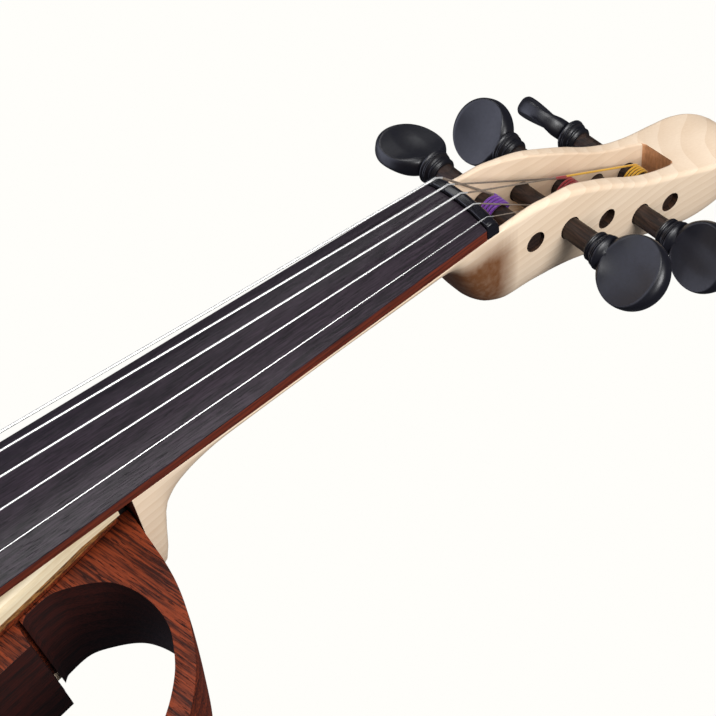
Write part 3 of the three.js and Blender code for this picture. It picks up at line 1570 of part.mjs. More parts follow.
// Lever: a fork above the slot that holds the string's ball, an arm under the tailpiece
function leverBody(y, diameter) {
  const half = LEVER_WIDTH / 2;
  const low = -TAILPIECE_THICKNESS - LEVER_ARM_GAP - LEVER_ARM_THICKNESS;
  const front = -TUNER_AXLE_PLACE + LEVER_LENGTH / 2;
  const back = -TUNER_AXLE_PLACE - LEVER_LENGTH / 2;
  const upright = block([back, y - half, low], [front, y + half, LEVER_RISE]);
  const arm = block(
    [-LEVER_ARM_END, y - half, low],
    [front, y + half, low + LEVER_ARM_THICKNESS],
  );
  const fork = block(
    [back - OVERRUN, y - diameter / 2 - RUNNING, LEVER_RISE / 2 - diameter / 2 - RUNNING],
    [front + OVERRUN, y + diameter / 2 + RUNNING, LEVER_RISE + OVERRUN],
  );
  const pocket = block(
    [back - OVERRUN, y - half - OVERRUN, LEVER_RISE / 2 - BALL_RADIUS - RUNNING],
    [back + BALL_RADIUS, y + half + OVERRUN, LEVER_RISE + OVERRUN],
  );
  const axle = rod(
    [-TUNER_AXLE_PLACE, y - LEVER_WIDTH, -TUNER_AXLE_DEPTH],
    [-TUNER_AXLE_PLACE, y + LEVER_WIDTH, -TUNER_AXLE_DEPTH],
    TUNER_AXLE_RADIUS + RUNNING,
  );
  return upright.add(arm).subtract(fork).subtract(pocket).subtract(axle);
}

function tunerScrewBody(y) {
  const x = -TUNER_SCREW_PLACE;
  const tip = -TAILPIECE_THICKNESS - LEVER_ARM_GAP + SCREW_TIP_GAP + RUNNING;
  return rod([x, y, tip], [x, y, SCREW_HEAD_LIFT + GLUE], SCREW_SHANK_RADIUS).add(
    rod(
      [x, y, SCREW_HEAD_LIFT],
      [x, y, SCREW_HEAD_LIFT + SCREW_HEAD_HEIGHT],
      SCREW_HEAD_RADIUS,
      SCREW_HEAD_RADIUS,
      ROUND_SIDES,
    ),
  );
}

STRING_NAMES.forEach((name, index) => {
  const y = stringSide(index, TAILPIECE_SPREAD);
  place("tuner_lever_" + name, leverBody(y, STRING_DIAMETERS[index]), "steel", tail);
  place("tuner_screw_" + name, tunerScrewBody(y), "steel", tail);
  const ballX = -TUNER_AXLE_PLACE - LEVER_LENGTH / 2 - RUNNING;
  const ball = rod(
    [ballX, y - LEVER_WIDTH / 2, LEVER_RISE / 2],
    [ballX, y + LEVER_WIDTH / 2, LEVER_RISE / 2],
    BALL_RADIUS,
  );
  place("string_ball_" + name, ball, "brass", tail);
});

// Tail loop: from the tailpiece over the saddle and round the end button's neck
function loopBody() {
  const start = fromTail([-TAILPIECE_LENGTH + OVERRUN, TAIL_LOOP_HALF, -TAILPIECE_THICKNESS / 2]);
  const out = fromTail([-TAILPIECE_LENGTH, TAIL_LOOP_HALF, -TAILPIECE_THICKNESS / 2]);
  const over = saddleTop + TAIL_LOOP_RADIUS + RUNNING;
  const around = BUTTON_NECK_RADIUS + TAIL_LOOP_RADIUS + RUNNING;
  const behind = TAIL_EDGE - BUTTON_NECK_LENGTH / 2;
  const side = [
    toBody(start),
    toBody(out),
    [TAIL_EDGE + SADDLE_LENGTH * SADDLE_CREST_SHARES[1], TAIL_LOOP_HALF, over],
    [TAIL_EDGE + SADDLE_LENGTH * LOOP_LEAVE_SHARE, TAIL_LOOP_HALF, over],
    [TAIL_EDGE - TAIL_LOOP_RADIUS * LOOP_DROP_SHARE, TAIL_LOOP_HALF, BEAM_TOP],
    [behind, around, 0],
    [behind, around, -BUTTON_DROP],
  ];
  const bow = [];
  for (let i = 1; i < LOOP_BOW_STEPS; i++) {
    const angle = (i / LOOP_BOW_STEPS) * Math.PI;
    bow.push([behind, around * Math.cos(angle), -BUTTON_DROP - around * Math.sin(angle)]);
  }
  const other = side.map(([x, y, z]) => [x, -y, z]).reverse();
  return tube([...side, ...bow, ...other], TAIL_LOOP_RADIUS, LOOP_SIDES);
}

place("tail_loop", loopBody(), "nylon", body);

// Chin rest on the bass side, reaching over the tail
const restBack = TAIL_EDGE + REST_BACK;
const restFront = restBack + REST_LENGTH;

function chinRestBody() {
  const wide = REST_TO + REST_FROM;
  const outline = REST_SHARES.map(([along, bass, treble]) => [
    restBack + along * REST_LENGTH,
    bass * REST_TO - treble * REST_FROM,
  ]);
  const smoothed = smooth([...outline, outline[0]], 2).slice(0, -1);
  const top = REST_LIFT + REST_THICKNESS;
  let shape = raised(smoothed, REST_LIFT, top, EDGE_ROUND);
  const cup = new THREE.SphereGeometry(CUP_RADIUS, ROUND_SIDES * 2, ROUND_SIDES);
  const cupPlace = [
    restBack + REST_LENGTH * CUP_ALONG_SHARE,
    REST_TO - wide * CUP_ACROSS_SHARE,
    top + CUP_RADIUS - CUP_DEPTH,
  ];
  shape = shape.subtract(solid(moved(cup, ...cupPlace)));
  // two feet on the frame, and two tabs that carry the clamp's upper posts
  for (const y of FOOT_PLACES) {
    shape = shape.add(footBlock(y, CORK_THICKNESS + 2 * GLUE, REST_LIFT + EDGE_ROUND));
  }
  return shape;
}

function footBlock(y, bottom, top) {
  const back = restBack + FOOT_INSET;
  return block([back, y - FOOT_HALF_WIDTH, bottom], [back + FOOT_LENGTH, y + FOOT_HALF_WIDTH, top]);
}

FOOT_PLACES.forEach((y, i) => {
  place("rest_cork_" + (i + 1), footBlock(y, GLUE, GLUE + CORK_THICKNESS), "cork", body);
});

// Clamp: upper posts fixed in the rest, barrels, and a foot plate with the lower posts
const postX = TAIL_EDGE - CLAMP_STANDOFF - BARREL_RADIUS;
const barrelTop = REST_LIFT - BARREL_TOP;
const barrelBottom = barrelTop - BARREL_LENGTH;
const clampSides = [-CLAMP_HALF, CLAMP_HALF];

function upperPost(y) {
  const tab = block(
    [postX - POST_RADIUS * 2, y - POST_RADIUS * 2, REST_LIFT],
    [postX + POST_TAB_LENGTH, y + POST_RADIUS * 2, REST_LIFT + POST_TAB_THICKNESS],
  );
  return tab.add(rod([postX, y, barrelTop - POST_GRIP], [postX, y, REST_LIFT + GLUE], POST_RADIUS));
}

function barrelBody(y) {
  const shape = rod(
    [postX, y, barrelBottom],
    [postX, y, barrelTop],
    BARREL_RADIUS,
    BARREL_RADIUS,
    ROUND_SIDES,
  );
  const bore = rod(
    [postX, y, barrelBottom - OVERRUN],
    [postX, y, barrelTop + OVERRUN],
    POST_RADIUS + RUNNING,
  );
  const middle = (barrelTop + barrelBottom) / 2;
  const key = rod(
    [postX - BARREL_RADIUS - OVERRUN, y, middle],
    [postX + BARREL_RADIUS + OVERRUN, y, middle],
    POST_RADIUS / 2,
  );
  return shape.subtract(bore).subtract(key);
}

function clampFootBody() {
  const low = BEAM_BOTTOM - CORK_THICKNESS - 2 * GLUE - CLAMP_PLATE_THICKNESS;
  const plate = block(
    [postX - POST_RADIUS * 2, -CLAMP_HALF - POST_RADIUS * 2, low],
    [TAIL_EDGE + CLAMP_PLATE_LENGTH, CLAMP_HALF + POST_RADIUS * 2, low + CLAMP_PLATE_THICKNESS],
  );
  return clampSides.reduce(
    (shape, y) =>
      shape.add(rod([postX, y, low + GLUE], [postX, y, barrelBottom + POST_GRIP], POST_RADIUS)),
    plate,
  );
}

let chinRest = chinRestBody();
clampSides.forEach((y, i) => {
  chinRest = chinRest.add(upperPost(y));
  place("clamp_barrel_" + (i + 1), barrelBody(y), "steel", body);
});
place("chin_rest", chinRest, "ebony", body);
place("clamp_foot", clampFootBody(), "steel", body);
const clampCork = block(
  [TAIL_EDGE + CLAMP_STANDOFF, -CLAMP_HALF, BEAM_BOTTOM - CORK_THICKNESS - GLUE],
  [TAIL_EDGE + CLAMP_PLATE_LENGTH - CLAMP_STANDOFF, CLAMP_HALF, BEAM_BOTTOM - GLUE],
);
place("clamp_cork", clampCork, "cork", body);

// The whole is levelled on the head's lowest point and the clamp's foot
const lowHead = HEAD_SHARES.find(([, , low]) => low === 1);
const footCorner = fromBody([
  postX - POST_RADIUS * 2,
  0,
  BEAM_BOTTOM - CORK_THICKNESS - 2 * GLUE - CLAMP_PLATE_THICKNESS,
]);
const levelTurn = Math.atan2(
  footCorner[2] + HEAD_DROP * lowHead[2],
  lowHead[0] * HEAD_LENGTH - footCorner[0],
);
violin.rotation.y = -levelTurn;
violin.updateMatrixWorld(true);

// Origin under the middle of its footprint
const part = new THREE.Group();
part.add(violin);
const bounds = new THREE.Box3().setFromObject(violin, true);
const middle = bounds.getCenter(new THREE.Vector3());
violin.position.set(-middle.x, -middle.y, -bounds.min.z);

export default part;
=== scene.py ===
"""Five-string electric violin with an open frame, dressed for a studio picture.

Every form is measured in millimetres in one of three frames: the board, the tilted body or the
sloping tailpiece. A piece is turned into the row frame, in metres, as its last step.
"""

import logging
import math
from contextlib import contextmanager
from dataclasses import dataclass, field
from enum import Enum
from typing import Callable, Iterable, Iterator, Sequence

import bmesh
import bpy
from mathutils import Matrix, Vector


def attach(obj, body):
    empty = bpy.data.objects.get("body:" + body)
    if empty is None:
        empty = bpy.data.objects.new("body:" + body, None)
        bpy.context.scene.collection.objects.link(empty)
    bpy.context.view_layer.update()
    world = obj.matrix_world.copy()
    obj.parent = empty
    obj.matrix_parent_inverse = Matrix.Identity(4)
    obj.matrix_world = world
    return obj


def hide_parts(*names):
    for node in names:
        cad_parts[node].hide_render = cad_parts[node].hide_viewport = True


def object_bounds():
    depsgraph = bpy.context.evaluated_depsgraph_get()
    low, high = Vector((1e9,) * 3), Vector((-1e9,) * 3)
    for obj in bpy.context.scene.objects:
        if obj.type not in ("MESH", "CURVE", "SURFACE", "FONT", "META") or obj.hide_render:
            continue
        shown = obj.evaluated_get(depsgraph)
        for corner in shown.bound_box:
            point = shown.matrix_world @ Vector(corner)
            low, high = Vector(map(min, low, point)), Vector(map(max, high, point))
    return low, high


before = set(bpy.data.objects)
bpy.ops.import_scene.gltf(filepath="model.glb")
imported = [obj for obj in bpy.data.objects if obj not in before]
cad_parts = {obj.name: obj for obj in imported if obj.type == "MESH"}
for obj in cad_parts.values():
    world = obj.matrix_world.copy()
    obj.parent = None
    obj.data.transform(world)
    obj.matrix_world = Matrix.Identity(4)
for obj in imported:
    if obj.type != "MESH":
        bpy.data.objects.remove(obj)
CAD_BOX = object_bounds()

logging.basicConfig(level=logging.INFO, format="%(message)s")
log = logging.getLogger("violin")

Point = tuple[float, float, float]
Row = tuple[float, ...]
Socket = bpy.types.NodeSocket

MM = 0.001
GLUE = 0.25


def held(value: float, start: float, end: float) -> float:
    """How far a value has come from a start to an end, held between 0 and 1."""
    return min(max((value - start) / (end - start), 0.0), 1.0)


# Frames


def placed(origin: Point, turn: float, parent: Matrix) -> Matrix:
    """A frame that is moved and then turned about Y inside its parent."""
    return parent @ Matrix.Translation(origin) @ Matrix.Rotation(turn, 4, "Y")


BOARD = placed((185.643, 0.0, 65.532), 0.01648, Matrix.Scale(MM, 4))
BODY = placed((0.0, 0.0, -6.0), -0.055, BOARD)
TAIL = placed((-384.0, 0.0, 0.6), -0.16817, BOARD)
BOARD_TO_BODY = BODY.inverted() @ BOARD


class StringName(Enum):
    """The five strings, from the bass side."""

    C = "c"
    G = "g"
    D = "d"
    A = "a"
    E = "e"


# Sizes


@dataclass(frozen=True)
class BoardSizes:
    """The fingerboard and the nut, in millimetres."""

    length: float = 270.0
    half_at_nut: float = 13.95
    half_at_end: float = 24.75
    edge_at_nut: float = 4.2
    edge_at_end: float = 2.6
    arch: float = 42.0
    nut_length: float = 4.6
    nut_bottom: float = 4.2
    nut_rise: float = 1.55

    def share(self, x: float) -> float:
        """How far along the board a place lies, from 0 at the nut to 1 at its end."""
        return held(x, 0.0, -self.length)

    def half(self, x: float) -> float:
        """Half of the board's width at a place."""
        return self.half_at_nut + (self.half_at_end - self.half_at_nut) * self.share(x)

    def edge(self, x: float) -> float:
        """Height of the board's flank at a place."""
        return self.edge_at_nut + (self.edge_at_end - self.edge_at_nut) * self.share(x)

    def rise(self, y: float, half: float) -> float:
        """Height of the arched top above its arris."""
        return math.sqrt(self.arch**2 - y**2) - math.sqrt(self.arch**2 - half**2)


@dataclass(frozen=True)
class ShankSizes:
    """The taper that all pegs share, in millimetres from the middle of the handle."""

    start: float = 17.0
    end: float = 56.5
    bore_end: float = 66.5
    start_radius: float = 3.8
    end_radius: float = 3.3


@dataclass(frozen=True)
class PegSizes:
    """One peg: where it goes through the head and how its handle is turned."""

    name: StringName
    along: float
    below: float
    side: int
    handle_turn: float
    reach: float

    @property
    def body(self) -> str:
        """The body of the frame that the peg rides on."""
        return f"peg_{self.name.value}_body"

    @property
    def matrix(self) -> Matrix:
        """The peg's own frame inside the board frame; its shank points along -Y."""
        middle = Matrix.Translation((self.along, self.side * self.reach, -self.below))
        turn = Matrix.Rotation(self.handle_turn, 4, "Y")
        flip = Matrix.Rotation(0.0 if self.side > 0 else math.pi, 4, "X")
        return middle @ turn @ flip

    def round_shank(self, radius: float, angle: float, side: float) -> Point:
        """A place at a distance and an angle from the shank's middle line."""
        x = self.along + radius * math.sin(angle)
        return x, side, -self.below + radius * math.cos(angle)


@dataclass(frozen=True)
class StringSizes:
    """One string: its thickness, its places at both ends and its turns on the peg."""

    name: StringName
    diameter: float
    tail_side: float
    bridge: Point
    nut: Point
    landing: float
    end_side: float
    last: float
    silk_from: float
    silk: str
    tip: str
    silk_lead: float = 0.0


PEGS = (
    PegSizes(StringName.C, 19.2, 19.0, 1, 0.25, 46.2),
    PegSizes(StringName.G, 50.9, 31.6, 1, -0.9, 46.2),
    PegSizes(StringName.D, 81.6, 45.5, 1, 0.9, 46.2),
    PegSizes(StringName.A, 34.1, 23.5, -1, -0.7, 41.0),
    PegSizes(StringName.E, 67.1, 41.1, -1, -1.05, 41.0),
)

STRINGS = (
    StringSizes(
        StringName.C, 1.1, 17.0, (-328, 22.5, 12.96), (0, 11.65, 2.54), 8.0, 2.64, 20.0031,
        30.0, "silk_purple", "silk_purple",
    ),
    StringSizes(
        StringName.G, 0.9, 8.5, (-328, 11.25, 17.97), (0, 5.83, 3.78), 6.2, 1.51, 19.7983,
        44.0, "silk_red", "silk_red",
    ),
    StringSizes(
        StringName.D, 0.85, 0.0, (-328, 0.0, 19.5), (0, 0.0, 4.18), 5.2, 0.677, 19.7541,
        48.4, "silk_yellow", "silk_white", 5.0,
    ),
    StringSizes(
        StringName.A, 0.7, -8.5, (-328, -11.25, 17.97), (0, -5.83, 3.78), -7.6, -3.58, 19.8499,
        31.0, "silk_green", "silk_white",
    ),
    StringSizes(
        StringName.E, 0.45, -17.0, (-328, -22.5, 12.96), (0, -11.65, 2.54), -5.4, -2.218, 19.7801,
        500.0, "string_plain", "string_plain",
    ),
)

BOARD_SIZES = BoardSizes()
SHANK = ShankSizes()

# Neck and head: place, half width, top, bottom, fullness of the underside
NECK_ROWS: tuple[Row, ...] = (
    (-130.7, 19.18, -3.68, -51.28, 3.5),
    (-128.64, 19.03, -3.7, -50.82, 3.5),
    (-126.68, 18.95, -3.71, -49.4, 3.5),
    (-125.37, 18.9, -3.72, -45.41, 3.4),
    (-124.2, 18.85, -3.72, -39.71, 3.2),
    (-122.89, 18.8, -3.73, -30.72, 3.0),
    (-120.54, 18.71, -3.75, -24.2, 2.6),
    (-115.31, 18.5, -3.78, -19.6, 2.1),
    (-107.47, 18.18, -3.82, -16.6, 1.75),
    (-98.68, 17.9, -3.87, -14.6, 1.55),
    (-78.42, 17.09, -3.99, -14.2, 1.48),
    (-60.0, 16.3, -4.1, -14.3, 1.46),
    (-39.21, 15.52, -4.22, -14.9, 1.46),
    (-18.0, 14.67, -4.34, -15.2, 1.5),
    (-12.5, 14.3, -4.38, -16.4, 1.65),
    (-7.4, 13.93, -4.42, -25.92, 2.4),
    (-2.4, 13.86, -4.48, -34.9, 2.9),
    (3.76, 13.93, -4.48, -40.5, 3.4),
    (10.04, 14.0, -4.42, -42.7, 3.8),
    (18.82, 14.0, -4.8, -42.2, 4.4),
    (26.36, 14.0, -6.59, -42.5, 5.0),
    (36.39, 13.86, -9.73, -44.3, 5.5),
    (46.44, 13.65, -14.78, -47.4, 6.0),
    (56.48, 13.51, -20.48, -50.9, 6.0),
    (66.52, 13.37, -26.88, -55.1, 6.0),
    (75.3, 13.2, -31.3, -59.25, 6.0),
    (84.71, 13.6, -35.0, -62.4, 6.0),
    (93.5, 14.6, -38.1, -64.0, 6.0),
    (101.66, 15.6, -40.7, -63.36, 5.5),
    (109.19, 15.9, -42.6, -61.76, 5.0),
    (116.09, 14.8, -44.3, -57.6, 4.4),
    (121.11, 12.4, -46.0, -54.4, 3.6),
    (123.99, 9.2, -47.6, -51.84, 3.0),
    (125.5, 5.6, -49.2, -50.56, 2.6),
)

# Pegbox opening: place, half width, floor
PEGBOX_ROWS: tuple[Row, ...] = (
    (5.4, 11.06, -24.32),
    (6.9, 11.48, -27.52),
    (16.94, 11.2, -31.04),
    (25.98, 10.6, -32.96),
    (42.04, 8.6, -37.76),
    (59.99, 7.9, -44.8),
    (75.05, 7.7, -50.56),
    (85.97, 7.2, -54.08),
    (88.6, 6.5, -55.04),
    (89.61, 5.2, -55.68),
)

# Plan of the frame: outer edge from the front to the tail, and the rims of its two openings
TREBLE_FRONT: tuple[Row, ...] = (
    (-131.89, 21), (-132.99, 34.2), (-134.81, 44), (-138.29, 53.9), (-144.51, 65.46),
    (-155, 75.98), (-168.01, 82), (-182.02, 83.5), (-198.01, 81.5), (-214.01, 75.48),
    (-228.02, 67.47),
)
BASS_FRONT: tuple[Row, ...] = (
    (-132.5, 20.5), (-137, 23.8), (-142.5, 28.2), (-147.6, 33), (-151.8, 39), (-155.6, 46),
    (-160, 54), (-165.2, 62), (-171.8, 69.6), (-180, 75.6), (-189, 78.8), (-200, 78.5),
    (-211.98, 75), (-228.02, 67.47),
)
OUTER_REST: tuple[Row, ...] = (
    (-244.02, 59.98), (-262, 56), (-281.98, 57.01), (-300.01, 62.5), (-318, 72),
    (-335.98, 83.02), (-356, 93.52), (-378, 101.04), (-400.01, 103), (-422.01, 99.5),
    (-441.99, 90.54), (-458.99, 76.01), (-472, 57.99), (-480.99, 38.01), (-487, 21.1),
)
TREBLE_RIM: tuple[Row, ...] = (
    (-172.49, 24.97), (-170.25, 22.38), (-168.01, 21.46), (-161.01, 20.96), (-154.5, 23.71),
    (-148.88, 27.47), (-145.61, 31.56), (-143.2, 37.41), (-142.2, 44.34), (-142.7, 49.93),
    (-144.4, 54.78), (-149.49, 62.96), (-158.48, 70.97), (-170, 75.98), (-182.02, 77.32),
    (-195.99, 75.48), (-209, 70.47), (-222.01, 62.96), (-233, 56.53), (-240.99, 49.01),
)
BASS_RIM: tuple[Row, ...] = (
    (-172.49, 24.97), (-170.6, 22.9), (-168.4, 22.2), (-164.4, 23.6), (-161, 27.5),
    (-160.2, 32.5), (-161.5, 38.5), (-164.5, 45.5), (-168.6, 53), (-174, 60.3), (-181, 66.8),
    (-189, 70.2), (-197, 71), (-207, 68.5), (-218, 63.5), (-229, 57), (-238.5, 50),
)
RIM_REST: tuple[Row, ...] = (
    (-242.49, 43), (-238.01, 38.49), (-227.98, 36.82), (-211.99, 35.49), (-194.99, 32.98),
    (-172.6, 30.06),
)
LOWER_RIM: tuple[Row, ...] = (
    (-299.01, 46.37), (-294, 50.46), (-292.01, 55.61), (-300.01, 58.91), (-316, 63.55),
    (-333.78, 73.64), (-354.01, 84.25), (-376.01, 92.08), (-399.01, 94.25), (-419.49, 91.16),
    (-434.99, 83.94), (-442.99, 72.1), (-441, 58.71), (-432, 48.41), (-418, 43.77),
    (-399.01, 43.26), (-369.01, 44.29), (-338.01, 45.32), (-310.99, 45.32),
)
BEAM_ROWS: tuple[Row, ...] = (
    (-135.35, 14.9), (-156.99, 18.81), (-177, 22.01), (-215.01, 26.99), (-264.99, 30.99),
    (-327.98, 33), (-389.98, 30.99), (-440, 25.01), (-487, 20),
)


class Table:
    """Rows of values that are followed by a smooth line without overshoot."""

    def __init__(self, rows: Iterable[Row]) -> None:
        """Sorts the rows and works out the slopes.

        Args:
            rows: the place first, then the values there.
        """
        self.rows = sorted(rows)
        self.slopes = [self._slopes(column) for column in range(1, len(self.rows[0]))]

    def _slopes(self, column: int) -> list[float]:
        """Slopes of a column at its rows, level wherever it turns back."""
        steps = [b[0] - a[0] for a, b in zip(self.rows, self.rows[1:])]
        rises = [(b[column] - a[column]) / s for a, b, s in zip(self.rows, self.rows[1:], steps)]
        slopes = [rises[0]]
        for before, after in zip(rises, rises[1:]):
            same_way = before * after > 0
            slopes.append(2 * before * after / (before + after) if same_way else 0.0)
        return [*slopes, rises[-1]]

    def at(self, place: float) -> list[float]:
        """The values at a place.

        Args:
            place: a value of the first column.

        Returns:
            The other columns there.
        """
        last = len(self.rows) - 2
        index = next((i for i in range(last) if self.rows[i + 1][0] >= place), last)
        low, high = self.rows[index], self.rows[index + 1]
        step = high[0] - low[0]
        t = held(place, low[0], high[0])
        values = []
        for column, slopes in enumerate(self.slopes, start=1):
            values.append(
                (2 * t**3 - 3 * t**2 + 1) * low[column]
                + (t**3 - 2 * t**2 + t) * step * slopes[index]
                + (-2 * t**3 + 3 * t**2) * high[column]
                + (t**3 - t**2) * step * slopes[index + 1]
            )
        return values

    def places(self, step: float) -> list[float]:
        """Places from the first row to the last, about one step apart."""
        start, end = self.rows[0][0], self.rows[-1][0]
        count = max(round((end - start) / step), 1)
        return [start + (end - start) * i / count for i in range(count + 1)]


def flowing(points: Sequence[Row], steps: int, closed: bool = False) -> list[Row]:
    """A rounded line through points of a plan.

    Args:
        points: the points to pass.
        steps: short straight steps between two of them.
        closed: whether the line comes back to its start.

    Returns:
        The points of the line.
    """
    count = len(points)
    spans = count if closed else count - 1

    def pick(i: int) -> Vector:
        """The point of a number, going on past the ends."""
        return Vector(points[i % count] if closed else points[min(max(i, 0), count - 1)])

    line = []
    for i in range(spans):
        a, b, c, d = (pick(i + k) for k in (-1, 0, 1, 2))
        for k in range(steps):
            t = k / steps
            place = 0.5 * (
                2 * b + (c - a) * t + (2 * a - 5 * b + 4 * c - d) * t**2
                + (3 * b - a - 3 * c + d) * t**3
            )
            line.append(tuple(place))
    if not closed:
        line.append(tuple(points[-1]))
    return line


def mirrored(points: Iterable[Row]) -> list[Row]:
    """The same plan on the other side of the middle, walked the other way."""
    return [(x, -y) for x, y in points][::-1]


# Colours and shader nodes


def linear(code: str) -> tuple[float, float, float, float]:
    """A hex colour as it looks on screen, in the linear values that shaders take."""
    parts = [int(code[i : i + 2], 16) / 255 for i in (1, 3, 5)]
    red, green, blue = (
        part / 12.92 if part <= 0.04045 else ((part + 0.055) / 1.055) ** 2.4 for part in parts
    )
    return red, green, blue, 1.0


def add_node(
    tree: bpy.types.NodeTree,
    kind: str,
    inputs: dict[str | int, object] | None = None,
    **settings: object,
) -> bpy.types.Node:
    """Adds a node, sets it and links it.

    Args:
        tree: the tree it goes in.
        kind: the node's type name.
        inputs: a value or an output to link, for each input by name or number.
        **settings: the node's own settings.

    Returns:
        The new node.
    """
    made = tree.nodes.new(kind)
    for name, value in settings.items():
        setattr(made, name, value)
    for name, value in (inputs or {}).items():
        if isinstance(value, Socket):
            tree.links.new(value, made.inputs[name])
        else:
            made.inputs[name].default_value = value
    return made


def ranged(
    tree: bpy.types.NodeTree, value: Socket, low: float, high: float, start: float, end: float
) -> Socket:
    """A value carried from one range to another and held inside it."""
    names = ("Value", "From Min", "From Max", "To Min", "To Max")
    inputs = dict(zip(names, (value, low, high, start, end)))
    return add_node(tree, "ShaderNodeMapRange", inputs).outputs["Result"]


class Surface:
    """A material in the making: its tree, its shader and the helpers that feed it."""

    def __init__(self, name: str, **values: object) -> None:
        """Starts a material with one shader.

        Args:
            name: the material's name.
            **values: the shader's plain values, with underscores for spaces.
        """
        self.material = bpy.data.materials.new(name)
        self.material.use_nodes = True
        self.tree = self.material.node_tree
        self.tree.nodes.clear()
        inputs = {key.replace("_", " "): value for key, value in values.items()}
        self.shader = add_node(self.tree, "ShaderNodeBsdfPrincipled", inputs)
        add_node(self.tree, "ShaderNodeOutputMaterial", {0: self.shader.outputs[0]})
        self.coordinates = add_node(self.tree, "ShaderNodeTexCoord").outputs["Object"]

    def mapped(self, vector: Socket, **values: Sequence[float]) -> Socket:
        """A vector that is moved, turned or scaled."""
        return add_node(self.tree, "ShaderNodeMapping", {"Vector": vector, **values}).outputs[0]

    def stretched(
        self, sizes: Point, turn: Point = (0, 0, 0), shift: Point = (0, 0, 0)
    ) -> Socket:
        """Object coordinates in which one unit is a size in millimetres on each axis."""
        place = [value * MM for value in shift]
        inner = self.mapped(self.coordinates, Rotation=turn, Location=place)
        return self.mapped(inner, Scale=[1 / (MM * size) for size in sizes])

    def noise(self, vector: Socket, detail: float, rough: float = 0.5) -> Socket:
        """Soft noise between 0 and 1 whose grains are one unit of the vector."""
        inputs = {"Vector": vector, "Scale": 1.0, "Detail": detail, "Roughness": rough}
        return add_node(self.tree, "ShaderNodeTexNoise", inputs).outputs["Fac"]

    def ramp(
        self, value: Socket, low: float, high: float, start: float = 0.0, end: float = 1.0
    ) -> Socket:
        """A value carried from one range to another and held inside it."""
        return ranged(self.tree, value, low, high, start, end)

    def mixed(self, share: Socket, first: object, second: object) -> Socket:
        """Two colours mixed by a share."""
        inputs = {0: share, 6: first, 7: second}
        return add_node(self.tree, "ShaderNodeMix", inputs, data_type="RGBA").outputs[2]

    def sum(self, first: Socket, second: Socket, operation: str = "ADD") -> Socket:
        """Two values joined by a sum, a product or another operation."""
        inputs = {0: first, 1: second}
        return add_node(self.tree, "ShaderNodeMath", inputs, operation=operation).outputs[0]

    def feed(self, name: str, value: Socket) -> None:
        """Links an output to one of the shader's inputs."""
        self.tree.links.new(value, self.shader.inputs[name])

    def relief(self, height: Socket, depth: float) -> None:
        """Bumps the surface by a height of so many millimetres."""
        inputs = {"Height": height, "Distance": depth * MM, "Strength": 1.0}
        self.feed("Normal", add_node(self.tree, "ShaderNodeBump", inputs).outputs[0])


